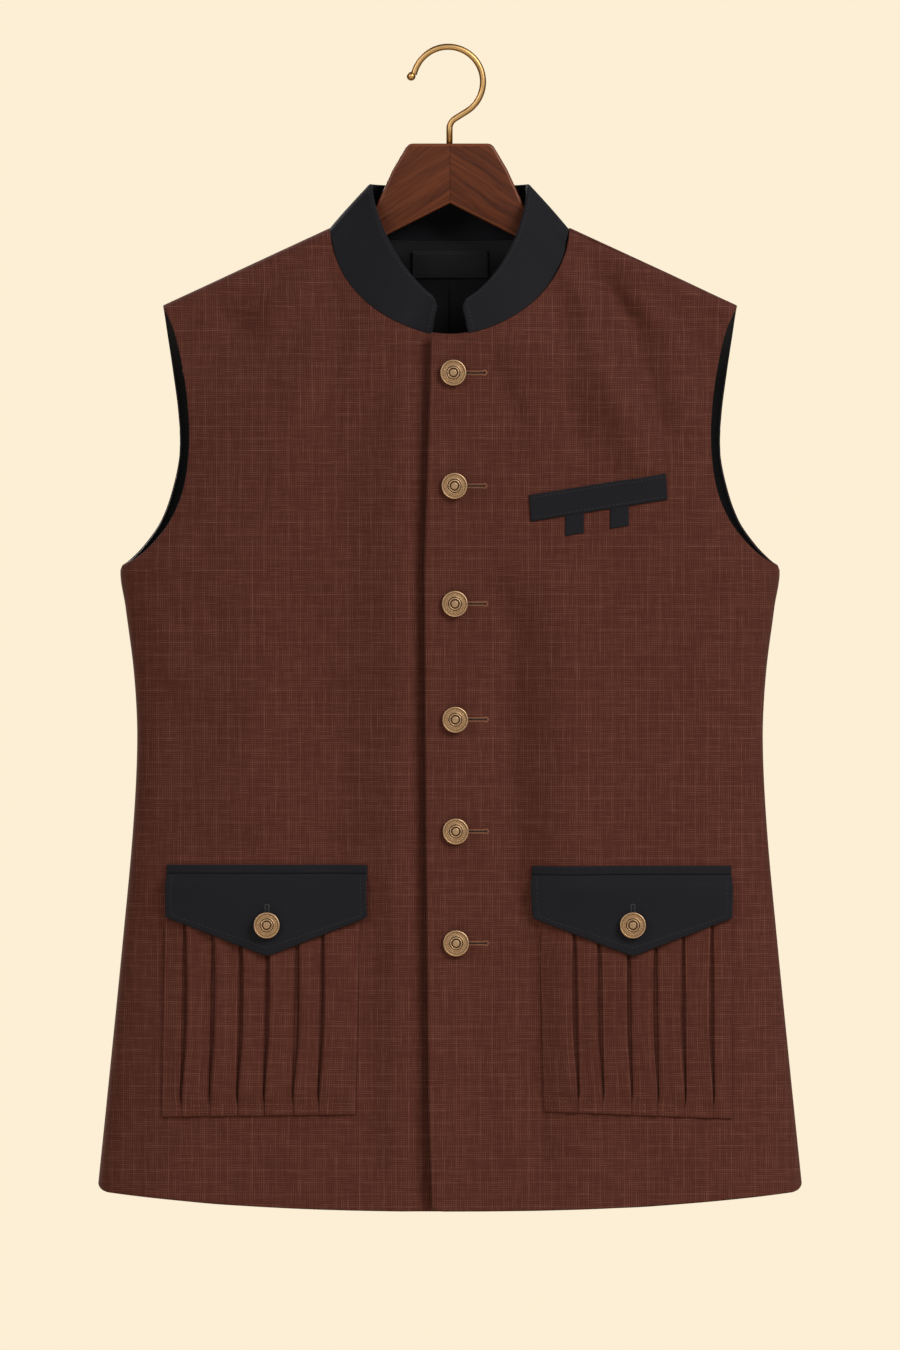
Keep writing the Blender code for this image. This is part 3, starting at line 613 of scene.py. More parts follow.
def checked_cloth():
    """Worsted in a tiny broken check, with a graph check of lighter slubby threads over it."""
    material, tree, shader = begin_finish("brown checked worsted", 0.86, Sheen_Weight=0.06,
                                          Sheen_Roughness=0.45, Sheen_Tint=SHEEN_TINT,
                                          Specular_IOR_Level=0.12)
    uv = node(tree, "UVMap", uv_map="cloth").outputs["UV"]
    place = node(tree, "SeparateXYZ", {"Vector": uv})
    u, v = place.outputs["X"], place.outputs["Y"]
    # In blocks of the cloth, one way of the threads shows more than the other.
    blocks = rescale(tree, noise(tree, 95.0, 1.0, uv), 0.38, 0.62)
    shares = (calc(tree, "MULTIPLY_ADD", blocks, 0.6, 0.4), calc(tree, "MULTIPLY_ADD", blocks, -0.6, 1.0))
    fine, graph = [], []
    for across, along, number in ((u, v, 0), (v, u, 1)):
        wave, strength = threads(tree, across, along, THREAD_PITCH[number], 3.7 + 4.5 * number, THREAD_RUN)
        strength = calc(tree, "MULTIPLY_ADD", strength, 0.55, 0.45)
        fine.append(calc(tree, "MULTIPLY", calc(tree, "MULTIPLY", wave, strength), shares[number]))
        wave, strength = threads(tree, across, along, GRAPH_PITCH[number], 21.4 + 12.5 * number, GRAPH_RUN)
        strength = calc(tree, "MULTIPLY_ADD", strength, 0.8, 0.2)
        graph.append(calc(tree, "MULTIPLY", rescale(tree, wave, 0.84, 0.96), strength))
    ground, graph = calc(tree, "ADD", *fine), calc(tree, "ADD", *graph)
    total = calc(tree, "MULTIPLY_ADD", ground, 0.62, calc(tree, "MULTIPLY", graph, 0.24))
    total = calc(tree, "MULTIPLY_ADD", noise(tree, 26.0, 3.0, uv), 0.12, total)
    colour = ramp(tree, total, (0.08, CHECK_DARK), (0.48, CHECK_GROUND), (1.0, CHECK_LIGHT))
    tree.links.new(colour, shader.inputs["Base Color"])
    bump(tree, shader, calc(tree, "ADD", ground, graph), 0.25, 0.00025)
    return material


def plain_black(name, colour, contrast, twill, roughness, **constants):
    """Black cloth with a fine twill line every `twill` metres."""
    material, tree, shader = begin_finish(name, roughness, **constants)
    uv = node(tree, "UVMap", uv_map="cloth").outputs["UV"]
    place = node(tree, "SeparateXYZ", {"Vector": uv})
    slant = calc(tree, "MULTIPLY_ADD", place.outputs["Y"], 0.8, place.outputs["X"])
    line = calc(tree, "PINGPONG", calc(tree, "DIVIDE", slant, twill), 0.5)
    line = calc(tree, "MULTIPLY", line, 0.8)
    mottle = calc(tree, "MULTIPLY_ADD", noise(tree, 900.0, 2.0, uv), 0.6, line)
    mottle = calc(tree, "MULTIPLY_ADD", noise(tree, 22.0, 3.0, uv), 0.35, mottle)
    dark, light = ([max(c * k, 0.0) for c in colour] for k in (1 - contrast, 1 + contrast))
    tree.links.new(ramp(tree, mottle, (0.3, dark), (1.0, light)), shader.inputs["Base Color"])
    bump(tree, shader, mottle, 0.2, 0.00015)
    return material


worsted = checked_cloth()
SUITING_BLACK = (0.0088, 0.0089, 0.0122)
LABEL_BLACK = (0.0135, 0.0137, 0.0160)
SATIN_BLACK = (0.0085, 0.0085, 0.0098)
suiting = plain_black("black suiting", SUITING_BLACK, 0.35, 0.0011, 0.8, Sheen_Weight=0.05,
                      Sheen_Roughness=0.4, Specular_IOR_Level=0.14)
label_cloth = plain_black("label cloth", LABEL_BLACK, 0.3, 0.0009, 0.8, Sheen_Weight=0.05,
                          Specular_IOR_Level=0.14)
satin = plain_black("black lining", SATIN_BLACK, 0.3, 0.0008, 0.55, Specular_IOR_Level=0.18)

FRONT_STEP = 3.2
FRONT_WIDE, PANEL_LONG = 268.0, 870.0
# How far above the hem the rows of its turned edge lie, then where the even rows start.
HEM_TURN, EVEN_FROM, EVEN_ROWS = (0.0, 0.4, 0.9, 1.7, 2.8), 4.0, 232
across_front = stations(FRONT_WIDE, FRONT_STEP)
up_panel = np.concatenate([np.array(HEM_TURN) / PANEL_LONG,
                           np.linspace(EVEN_FROM / PANEL_LONG, 1.0, EVEN_ROWS)])
for side, name in ((LEFT, "front_left"), (RIGHT, "front_right")):
    layout = front_layout(side, np.sin(across_front * pi / 2), up_panel)
    if side == RIGHT:
        layout = layout[:, ::-1]
    x, s = side * layout[..., 0], layout[..., 1]
    points = front_skin(side, x, s)
    points[..., 1] = np.minimum(points[..., 1], 0.0)
    wall = turned(from_edges(points), WALL)
    if side == LEFT:
        facing = FACING * (1 - ease((layout[..., 0] - front_edge(LEFT, points[..., 2])) / FACING_WIDE))
        points[..., 1] += facing
        wall += facing * np.clip(from_edges(points) / TURN_RADIUS, 0.2, 1.0)
    front = shell(name + "_cloth", points, wall, flat_place("front", x, s), (worsted, satin))
    settle(front, "check_cloth", name)


# ---- The back ---------------------------------------------------------------------------------
# The back is one cut of the same worsted. It is seamed to the fronts at the sides and, a little
# in front of the ridge, along the shoulders. It hangs flatter than the fronts, in long soft folds.

BACK_NECK_DROP, BACK_NECK_POWER = 6.0, 4
# The shares of the back's upper edge that the neck and each shoulder seam take.
NECK_SHARE = 10 / 22
SHOULDER_SHARE = (1 - NECK_SHARE) / 2
NECK_END_SHARE = 0.06
SEAM_POWER = 1.3
BACK_WIDE, BACK_STEP = 545.0, 3.4


def back_neckline(x):
    """Height of the back's neckline."""
    return NECK_TOP - BACK_NECK_DROP * (1 - (np.abs(x) / NECK_HALF) ** BACK_NECK_POWER)


def back_top(u):
    """(x, s) along the back's upper edge: a shoulder seam, the neck and the other seam."""
    around = np.clip((u - SHOULDER_SHARE) / NECK_SHARE, 0.0, 1.0)
    outer = np.minimum(u, 1 - u) / SHOULDER_SHARE
    sign = np.where(u < 0.5, 1.0, -1.0)
    forward = np.where(u < 0.5, seam_forward(LEFT, NECK_HALF), seam_forward(RIGHT, NECK_HALF))
    neck_x = NECK_HALF * np.cos(pi * around)
    rise = 1 - ease(np.minimum(around, 1 - around) / NECK_END_SHARE)
    neck_s = np.maximum(along_cloth(neck_x, back_neckline(neck_x)), 0.0) - forward * rise
    seam_x = mix(TIP, NECK_HALF, np.clip(outer, 0.0, 1.0) ** SEAM_POWER)
    seam_s = -np.where(u < 0.5, seam_forward(LEFT, seam_x), seam_forward(RIGHT, seam_x))
    on_neck = outer > 1.0
    x, s = np.where(on_neck, neck_x, sign * seam_x), np.where(on_neck, neck_s, seam_s)
    return np.stack([x, s], axis=-1)


def back_layout(u, v):
    """(x, s) of the back's points, from its left side seam to its right one."""
    left = side_points(armhole_path(BACK_ARMHOLE), v)
    x = left[0, 0] * np.cos(pi * u)
    bottom = np.stack([x, along_cloth(x, hem(x, (x[0], x[-1])))], axis=-1)
    left[0] = bottom[0]
    return patch(left, left * (-1, 1), bottom, back_top(u), u, v)


def back_points(u, v):
    """The back's inner face, and its place on the flat cut."""
    layout = back_layout(u, v)
    x, s = layout[..., 0], layout[..., 1]
    points = back_skin(x, s)
    points[..., 1] = np.where(s > 0, np.maximum(points[..., 1], 0.0), points[..., 1])
    return points, flat_place("back", x, s)


across_back = stations(BACK_WIDE, BACK_STEP)
points, uv = back_points(across_back, up_panel)
wall = turned(from_edges(points), WALL)
back = settle(shell("back_cloth", points, wall, uv, (worsted, satin)), "check_cloth", "back")


# ---- The back lining and its label ------------------------------------------------------------
# Black satin lining hangs inside the back, sewn in just short of its armholes and neck, with a
# pleat of ease down the centre. A blank black patch is stitched on it under the neck.

LINING_WALL, LINING_STEP, LINING_ROWS = 0.7, 6.5, 120
LINING_INSET = 1.3
LINING_HEM, LINING_HEM_REACH = 18.0, 60.0
# How far inside the back the lining hangs: at its sewn edges, and from a little way inside them.
EDGE_SINK, LINING_SINK, SINK_REACH = 1.0, 2.8, 16.0
# The pleat of ease: its place, depth and two ends, and how softly it starts and ends there.
PLEAT_AT, PLEAT_DEEP = -1.5, 1.3
PLEAT_FROM, PLEAT_TO = -176.0, -480.0
PLEAT_START, PLEAT_END = 14.0, 160.0
# Half widths of its groove and of the swell beside it, and where that swell lies.
GROOVE_HALF, SWELL_HALF, SWELL_AT = 0.9, 2.6, 3.2
LABEL_HALF, LABEL_TOP, LABEL_HEIGHT = 30.0, -154.0, 20.5
LABEL_SINK, LABEL_WALL = 4.3, 0.8
# The label's stitched groove: how far in it lies, its half width and its share of the wall.
LABEL_SEAM, LABEL_SEAM_HALF, LABEL_SEAM_DEEP = 1.6, 0.45, 0.55


def bell(distance, half):
    """A smooth hump, 1 high where the distance is 0."""
    return np.exp(-((distance / half) ** 2))


around_pleat = 0.5 + 0.012 * np.linspace(-1, 1, 15)
lining_u = np.unique(np.concatenate([stations(BACK_WIDE, LINING_STEP), around_pleat]))
lining_v = np.unique(np.concatenate([np.linspace(0, 1, LINING_ROWS), 1 - np.array([0.0015, 0.004])]))
points, uv = back_points(lining_u, lining_v)
inside = from_edges(points, ("start", "end", "top"))
sink = LINING_SINK - (LINING_SINK - EDGE_SINK) * (1 - ease(inside / SINK_REACH))
points = points - face_normals(points) * sink[..., None]
points[..., 2] += LINING_HEM * ease(1 - (points[..., 2] - points[:1, :, 2]) / LINING_HEM_REACH)
for edge, beside in ((0, 1), (-1, -2)):
    points[:, edge] += unit(points[:, beside] - points[:, edge]) * LINING_INSET
points[-1] += unit(points[-2] - points[-1]) * LINING_INSET
x, z = points[..., 0] - PLEAT_AT, points[..., 2]
run = ease((PLEAT_FROM - z) / PLEAT_START) * ease((z - PLEAT_TO) / PLEAT_END)
points[..., 1] += PLEAT_DEEP * (bell(x, GROOVE_HALF) - 0.5 * bell(x - SWELL_AT, SWELL_HALF)) * run
lining = shell("back_lining_satin", points[:, ::-1], LINING_WALL, uv[:, ::-1], (satin,))
settle(lining, "lining", "back_lining")

x, up = np.meshgrid(LABEL_HALF * np.linspace(-1, 1, 57), np.linspace(0, 1, 33))
z = LABEL_TOP - LABEL_HEIGHT * (1 - up)
points, _ = outward(back_skin, x, along_cloth(x, z), -LABEL_SINK)
edge = from_edges(points)
groove = LABEL_SEAM_DEEP * bell(edge - LABEL_SEAM, LABEL_SEAM_HALF)
label = shell("label_patch", points, turned(edge, LABEL_WALL, LABEL_WALL) * (1 - groove),
              np.stack([x, z], axis=-1) * MM, (label_cloth,))
settle(label, "label_cloth", "label")


# ---- The stand collar -------------------------------------------------------------------------
# A stand collar of black suiting, two layers over a stiffener, is seamed round the neck. Its two
# ends have rounded corners and stand apart, and a row of stitches runs along its upper edge.

COLLAR_WALL, COLLAR_TURN = 2.3, 1.6
COLLAR_HEIGHT = 40.0
# Distance of each end from the centre line, along the seam.
COLLAR_END = 14.0
# The upper edge: its half width and height at the back, how far it drops to the front and how
# round that line is on each side, and how far it reaches to the front and to the back.
COLLAR_TOP_HALF = 60.5
COLLAR_TOP = -104.6
COLLAR_TOP_DROP = 92.0
COLLAR_TOP_ROUND = {LEFT: 1.7, RIGHT: 1.52}
COLLAR_TOP_FRONT, COLLAR_TOP_BACK = 39.0, 22.0
COLLAR_TOP_POWER = 0.42
COLLAR_SINK_FRONT, COLLAR_SINK_BACK = 0.5, 2.0
COLLAR_CORNER = 8.0
COLLAR_BULGE, BULGE_POWER = 0.5, 0.8
COLLAR_INSET = {LEFT: 2.0, RIGHT: 0.7}
COLLAR_POINTS = 300


def collar_seam():
    """The neck edge, from the left end of the collar round the back to the right one."""
    front = {}
    for side in (LEFT, RIGHT):
        x = NECK_HALF * np.sin(np.linspace(asin(COLLAR_END / NECK_HALF), pi / 2, PATH_POINTS))
        s = np.maximum(along_cloth(x, neckline(x)), SEAM_FORWARD[side])
        front[side] = front_skin(side, side * x, s)
    u = np.linspace(SHOULDER_SHARE, 1 - SHOULDER_SHARE, PATH_POINTS)[1:-1]
    path = back_top(u)
    behind = back_skin(path[:, 0], path[:, 1])
    seam = np.concatenate([front[LEFT], behind, front[RIGHT][::-1]])
    lengths = lengths_of(seam)
    at = stations(lengths[-1], lengths[-1] / COLLAR_POINTS, 5.0) * lengths[-1]
    return points_at(at, lengths, seam), at


def collar_rows(seam, up):
    """Points of the collar's inner face over each point of its seam."""
    share = np.minimum(np.abs(seam[:, 0]) / NECK_HALF, 1.0)
    reach = (1 - share**2) ** COLLAR_TOP_POWER
    front, left = seam[:, 1] < 0, seam[:, 0] > 0
    power = np.where(left, COLLAR_TOP_ROUND[LEFT], COLLAR_TOP_ROUND[RIGHT])
    drop = COLLAR_TOP_DROP * (1 - share**power) ** (1 / power)
    height = np.where(front, COLLAR_TOP - drop, COLLAR_TOP)
    y = np.where(front, -COLLAR_TOP_FRONT * reach, COLLAR_TOP_BACK * reach)
    top = np.stack([COLLAR_TOP_HALF * seam[:, 0] / NECK_HALF, y, height], axis=-1)
    rise = unit(top - seam)
    base = seam - rise * np.where(front, COLLAR_SINK_FRONT, COLLAR_SINK_BACK)[:, None]
    rows = base[None] + (top - base)[None] * up[..., None]
    rows[..., 0] *= 1 - np.where(left, COLLAR_INSET[LEFT], COLLAR_INSET[RIGHT]) / NECK_HALF
    return rows


seam, seam_length = collar_seam()
from_end = np.minimum(seam_length, seam_length[-1] - seam_length)
band_height = np.linalg.norm(collar_rows(seam, np.ones((1, 1)))[0] - seam, axis=1)
up = stations(COLLAR_HEIGHT, 2.4)
capped = 1 - round_corner(from_end, COLLAR_CORNER) / band_height
points = collar_rows(seam, up[:, None] * capped[None])
points += face_normals(points) * (COLLAR_BULGE * np.sin(pi * up) ** BULGE_POWER)[:, None, None]
edge = from_edges(points, ("start", "end", "top"))
wall = turned(edge, COLLAR_WALL, COLLAR_TURN)
uv = np.stack(np.broadcast_arrays(seam_length[None], up[:, None] * COLLAR_HEIGHT), axis=-1) * MM
collar = shell("collar_band", points, wall, uv, (suiting,))
settle(collar, "black_suiting", "collar")
collar_face = points + face_normals(points) * wall[..., None]


# ---- The breast welt and its tabs -------------------------------------------------------------
# A slanted welt of black suiting closes the breast pocket on the left front, and two small black
# tabs come out from under its lower edge.

TRIM_WALL, TRIM_LIFT, TRIM_TURN = 1.5, 0.25, 1.0
# The welt's lower corners, its length and height, and how far its upper edge leans inwards.
WELT_LOW_INNER, WELT_LOW_OUTER = (62.1, -364.7), (167.4, -347.8)
WELT_LONG, WELT_HEIGHT, WELT_LEAN = 106.0, 20.4, 1.5
TAB_CENTRES = (95.9, 130.4)
TAB_WIDTH, TAB_DROP, TAB_TUCK = 14.4, 15.4, 2.0
TAB_LONG = TAB_DROP + TAB_TUCK
TAB_WALL, TAB_LIFT, TAB_STEP = 1.1, 0.1, 1.6


def breast_level(x):
    """Height of the lower edge of the breast welt."""
    share = (x - WELT_LOW_INNER[0]) / (WELT_LOW_OUTER[0] - WELT_LOW_INNER[0])
    return mix(WELT_LOW_INNER[1], WELT_LOW_OUTER[1], share)


def trim(name, node_name, side, x, z, lift, wall=TRIM_WALL):
    """A piece of black trim on a front, through its places x and z, and its outer face."""
    points, _ = on_front(side, x, z, lift)
    wall = turned(from_edges(points), wall, TRIM_TURN)
    piece = shell(name, points, wall, np.stack([x, z], axis=-1) * MM, (suiting,))
    return settle(piece, "black_suiting", node_name), points + face_normals(points) * wall[..., None]


u, v = np.meshgrid(stations(WELT_LONG, 3.0), stations(WELT_HEIGHT, 2.2))
x = mix(WELT_LOW_INNER[0], WELT_LOW_OUTER[0], u) - WELT_LEAN * v
z = breast_level(x + WELT_LEAN * v) + WELT_HEIGHT * v
welt, _ = trim("breast_welt_band", "breast_welt", LEFT, x, z, TRIM_LIFT)
for number, centre in enumerate(TAB_CENTRES, 1):
    u, v = np.meshgrid(stations(TAB_WIDTH, TAB_STEP), stations(TAB_LONG, TAB_STEP))
    x = centre + TAB_WIDTH * (u - 0.5)
    z = breast_level(x) + TAB_TUCK - TAB_LONG * (1 - v)
    tab, _ = trim(f"breast_tab_{number}_band", f"breast_tab_{number}", LEFT, x, z, TAB_LIFT, TAB_WALL)


# ---- The pleated patch pockets ----------------------------------------------------------------
# Each patch pocket is one cut of worsted laid in six knife pleats, whose folds face the side seam,
# held by a turned hem along its foot, and topstitched to the front at its sides and foot.

POCKETS = {
    RIGHT: {"outer_top": 218.7, "inner_top": 69.3, "outer_foot": 221.4, "inner_foot": 72.8,
            "top": -648.0, "outer_low": -823.9, "inner_low": -821.9},
    LEFT: {"outer_top": 216.2, "inner_top": 69.7, "outer_foot": 216.9, "inner_foot": 73.5,
           "top": -648.0, "outer_low": -825.4, "inner_low": -819.7},
}
# Distance of each pleat's fold from the pocket's outer edge.
PLEATS = (15.6, 37.5, 58.9, 79.5, 101.9, 121.5)
PLEAT_CLOTH = 0.85
PLEAT_UNDER = 3.4
# How high the cloth lies in a pleat: its floor, its under fold, its shoulder and its fold. In the
# hem band all of it is pressed down to the share PLEAT_PRESSED.
PLEAT_HEIGHTS = (0.5, 1.4, 2.0, 4.2)
PLEAT_PRESSED = 0.35
PLEAT_OPEN = (2.9, 2.4, 2.6, 2.3, 3.0, 2.5)
PLEAT_SLOT = 1.8
POCKET_BAND, BAND_EDGE = 9.2, 1.5
# Above the band the pleats rise over one height and open over another. Towards the flap they
# close, and under it they sink a little, from these shares of the pocket's height up.
RISE_OVER, OPEN_OVER = 9.0, 60.0
CLOSE_FROM, CLOSED_BY = 0.5, 0.75
SINK_FROM, SINK_OVER, SUNK_BY = 0.62, 0.2, 0.22
BAND_SHARE, BAND_ROWS = 0.052, 7
PLEATED_FROM, PLEATED_ROWS = 0.07, 62


def arc(x, y, radius, start, end, count):
    """Points round a centre, from one angle to another, in degrees."""
    angle = np.radians(np.linspace(start, end, count))
    return [(x + radius * cos(a), y + radius * sin(a)) for a in angle]


def pleated_section(wide, opened, risen):
    """Across a pocket: (distance from its outer edge, height), through every fold of the cloth.

    `opened` is how far the pleats stand open, and `risen` how far they rise, from 0 to 1.
    """
    low, between, shoulder, high = (height * mix(PLEAT_PRESSED, 1.0, risen) for height in PLEAT_HEIGHTS)
    floor = mix(shoulder - 0.3, low, risen)
    # The outer edge, turned under and so a little raised.
    line = [(0.0, low + 0.6), (0.5, low + 0.6), (1.2, low + 0.7)]
    start = 2.0
    for number, fold in enumerate(PLEATS):
        # Up from the last fold to this pleat's shoulder, and down into the slot beside its fold.
        begin = line[-1][1]
        end = fold - PLEAT_SLOT * mix(0.3, 1.0, risen)
        line += [(mix(start, end - 1.3, t), mix(begin, shoulder, ease(t))) for t in (0.2, 0.5, 0.8, 1.0)]
        line += [(end - back, mix(shoulder, floor, t)) for back, t in ((0.6, 0.12), (0.2, 0.4), (0.0, 1.0))]
        # Under the fold, back in its under fold, and round the fold out to the top.
        fold = fold + PLEAT_OPEN[number] * opened
        line += [(fold + 0.3, floor), (fold + PLEAT_UNDER - 0.8, low)]
        line += arc(fold + PLEAT_UNDER, (low + between) / 2, (between - low) / 2, -90, 90, 5)
        radius = (high - between) / 2
        line.append((fold + radius + 0.4, between))
        line += arc(fold + radius, (between + high) / 2, radius, -90, -270, 9)
        line += [(fold + radius + 0.8, high - 0.05 * risen)]
        start = fold + radius + 2.0
    # Down to the inner edge, which is turned under too.
    begin, end = line[-1][1], low + 0.2
    line += [(mix(start, wide - 1.4, t), mix(begin, end, ease(t))) for t in (0.0, 0.25, 0.5, 0.75)]
    line += [(wide - 1.0, low + 0.5), (wide - 0.4, low + 0.4), (wide, low + 0.3)]
    return np.array(line)


for side, name in ((LEFT, "pocket_left"), (RIGHT, "pocket_right")):
    size = POCKETS[side]
    wide = size["outer_top"] - size["inner_top"]
    rows = np.concatenate([np.linspace(0, BAND_SHARE, BAND_ROWS),
                           np.linspace(PLEATED_FROM, 1, PLEATED_ROWS)])
    # The pattern follows the cloth's length through the folds, taken where they are half open.
    run = lengths_of(pleated_section(wide, 0.5, 0.6))
    points, uv = [], []
    for v in rows:
        above = v * (size["top"] - size["outer_low"])
        opened = 1 - CLOSED_BY * ease((v - CLOSE_FROM) / (1 - CLOSE_FROM))
        opened = opened * ease((above - POCKET_BAND) / OPEN_OVER)
        risen = 1 - SUNK_BY * ease((v - SINK_FROM) / SINK_OVER)
        risen = risen * ease((above - POCKET_BAND + BAND_EDGE) / RISE_OVER)
        line = pleated_section(wide, float(opened), float(risen))
        share = line[:, 0] / wide
        outer = mix(size["outer_foot"], size["outer_top"], v)
        x = mix(outer, mix(size["inner_foot"], size["inner_top"], v), share)
        z = mix(mix(size["outer_low"], size["inner_low"], share), size["top"], v)
        points.append(on_front(side, side * x, z, line[:, 1])[0])
        uv.append(np.stack([side * (size["outer_top"] - run), z], axis=-1) * MM)
    points, uv = np.array(points), np.array(uv)
    if side == LEFT:
        points, uv = points[:, ::-1], uv[:, ::-1]
    pocket = shell(name + "_pleated", points, PLEAT_CLOTH, uv, (worsted,), middle=True)
    settle(pocket, "check_cloth", name)


# ---- The pocket flaps -------------------------------------------------------------------------
# Over each pocket a pointed flap of black suiting, two layers turned and edge stitched, hangs from
# a narrow black welt that is sewn flat to the front.

FLAPS = {
    RIGHT: {"outer": 217.8, "inner": 63.2, "top": -629.4, "side_low": -670.1, "tip": -700.3},
    LEFT: {"outer": 216.2, "inner": 64.1, "top": -630.3, "side_low": -670.8, "tip": -700.4},
}
FLAP_WELT_HEIGHT, FLAP_SEAM = 6.2, 0.6
FLAP_GAP, FLAP_LIFT = 0.65, 4.4
FLAP_BEND = 10.0
FLAP_TIP_ROUND = 0.02
# The two lower corners curl back to the pocket: how far, and from how high and over what height.
FLAP_CURL, CURL_FROM, CURL_OVER = 1.3, 26.0, 40.0
FLAP_LONG = 60.0

up_flap = stations(FLAP_LONG, 2.2, 1.8)
flap_face = {}
for side, name in ((LEFT, "left"), (RIGHT, "right")):
    size = FLAPS[side]
    wide = size["outer"] - size["inner"]
    top = size["top"] - FLAP_WELT_HEIGHT - FLAP_SEAM
    u, v = np.meshgrid(stations(wide, 3.0)[::-side], stations(FLAP_WELT_HEIGHT + FLAP_SEAM, 1.3, 1.6))
    x, z = mix(size["outer"], size["inner"], u), mix(top, size["top"], v)
    strip, _ = trim(f"pocket_welt_{name}_band", f"pocket_welt_{name}", side, side * x, z, FLAP_GAP)
    u, v = np.meshgrid(stations(wide, 2.4)[::-side], up_flap)
    slant = np.sqrt((2 * u - 1) ** 2 + FLAP_TIP_ROUND**2)
    x, z = mix(size["outer"], size["inner"], u), mix(mix(size["tip"], size["side_low"], slant), top, v)
    lift = FLAP_GAP + FLAP_LIFT * ease((top - z) / FLAP_BEND)
    curl = FLAP_CURL * ease((size["side_low"] + CURL_FROM - z) / CURL_OVER) * (2 * u - 1) ** 2
    flap, flap_face[side] = trim(f"flap_{name}_pointed", f"flap_{name}", side, side * x, z, lift - curl)


# ---- Buttonholes ------------------------------------------------------------------------------
# Each button has a keyhole buttonhole, worked round in twisted thread: copper brown ones across
# the left front, and a short black one above the button of each flap.

BUTTON_HEIGHTS = (-250.3, -337.3, -428.1, -517.4, -603.7, -689.9)
# Distance of the row from the centre line, at its top and at its foot.
BUTTON_LINE_TOP, BUTTON_LINE_LOW = 2.3, 3.9
FLAP_BUTTON_HEIGHT = -676.2
HOLE_LENGTH, FLAP_HOLE_LENGTH, HOLE_LIFT = 25.0, 15.6, 0.03
HOLE_THREADS = 150
SLIT_POINTS, EYE_POINTS = 60, 26
HOLE_THREAD_WIDE, HOLE_THREAD_RISE, LOW_THREAD = 1.35, 0.6, 0.72
# Across the worked edge, from the slit outwards: (reach, height), as shares of its width and rise.
WORKED_EDGE = ((-0.1, 0.0), (0.0, 0.7), (0.3, 1.0), (0.7, 0.85), (1.0, 0.3), (1.0, 0.0))
SLIT_HALF, EYE_RADIUS, SLIT_WALL = 0.6, 1.05, 0.12
COPPER_BROWN, THREAD_BLACK = (0.170, 0.068, 0.038), (0.030, 0.030, 0.034)


def only(obj):
    """Makes this the one selected object."""
    bpy.ops.object.select_all(action="DESELECT")
    obj.select_set(True)
    bpy.context.view_layer.objects.active = obj
    return obj


def outwards(obj):
    """Turns a closed mesh's faces outwards."""
    only(obj)
    bpy.ops.object.mode_set(mode="EDIT")
    bpy.ops.mesh.select_all(action="SELECT")
    bpy.ops.mesh.normals_make_consistent(inside=False)
    bpy.ops.object.mode_set(mode="OBJECT")
    return obj


def thread_finish(name, colour, contrast=0.4):
    """Twisted thread, with darker and lighter strands."""
    material, tree, shader = begin_finish(name, 0.7, Sheen_Weight=0.05, Specular_IOR_Level=0.15)
    coordinates = node(tree, "TexCoord").outputs["Object"]
    strands = noise(tree, 1800.0, 2.0, coordinates)
    dark, light = (tuple(c * k for c in colour) for k in (1 - contrast, 1 + contrast))
    tree.links.new(ramp(tree, strands, (0.3, dark), (0.7, light)), shader.inputs["Base Color"])
    bump(tree, shader, strands, 0.3, 0.0002)
    return material


def keyhole(length):
    """Round a keyhole: (along, across) points of its middle line, and the way out from it."""
    straight = length - 2 * EYE_RADIUS
    neck = asin(SLIT_HALF / EYE_RADIUS)
    eye = np.linspace(pi - neck, -pi + neck, EYE_POINTS)
    low = np.stack([np.linspace(0, straight, SLIT_POINTS), np.full(SLIT_POINTS, SLIT_HALF)], axis=-1)
    centre = straight + EYE_RADIUS * cos(neck)
    ring = np.stack([centre + EYE_RADIUS * np.cos(eye), EYE_RADIUS * np.sin(eye)], axis=-1)
    return np.concatenate([low, ring, low[::-1] * (1, -1)])


def buttonhole(name, slot, place, length, thread):
    """A worked buttonhole, and a dark sheet in its slit as painted shade.

    `place` turns a distance along the hole, one across it and a lift into a point of the cloth's face.
    """
    path = walk(keyhole(length), np.linspace(0, 1, HOLE_THREADS))
    ahead = unit(np.gradient(path, axis=0))
    out = np.stack([-ahead[:, 1], ahead[:, 0]], axis=-1)
    height = HOLE_THREAD_RISE * np.where(np.arange(HOLE_THREADS) % 2, 1.0, LOW_THREAD)
    rings = []
    for reach, rise in WORKED_EDGE:
        along, across = (path + out * (reach * HOLE_THREAD_WIDE)).T
        rings.append(place(along, across, rise * height))
    sides = len(WORKED_EDGE)
    index = np.arange(HOLE_THREADS * sides).reshape(HOLE_THREADS, sides)
    beside = np.roll(index, -1, axis=1)
    faces = np.stack([index[:-1], beside[:-1], beside[1:], index[1:]], axis=-1).reshape(-1, 4)
    faces = faces.tolist() + [index[0][::-1].tolist(), index[-1].tolist()]
    worked = new_piece("buttonhole_" + name, np.stack(rings, axis=1), faces, (thread,))
    settle(outwards(worked), slot)

    # Painted shade: a thin dark sheet in the slit stands in for the shade inside the cut.
    along, across = np.meshgrid(np.linspace(0.4, length - 1.0, 26), np.linspace(-1, 1, 5))
    points = place(along, across * SLIT_HALF * mix(1.1, 0.7, along / length), np.zeros_like(along))
    uv = np.stack([along, across], axis=-1) * MM
    dark = shell("buttonhole_slit_shade_" + name.replace("front_", ""), points, SLIT_WALL, uv, (satin,))
    settle(outwards(dark), "lining")


copper_thread = thread_finish("copper brown thread", COPPER_BROWN)
black_thread = thread_finish("black thread", THREAD_BLACK)


def button_line(z):
    """Distance of the row of buttons from the centre line."""
    share = (z - BUTTON_HEIGHTS[0]) / (BUTTON_HEIGHTS[-1] - BUTTON_HEIGHTS[0])
    return mix(BUTTON_LINE_TOP, BUTTON_LINE_LOW, share)


def flap_middle(side):
    """Where the middle of a flap lies, as x."""
    return side * (FLAPS[side]["outer"] + FLAPS[side]["inner"]) / 2


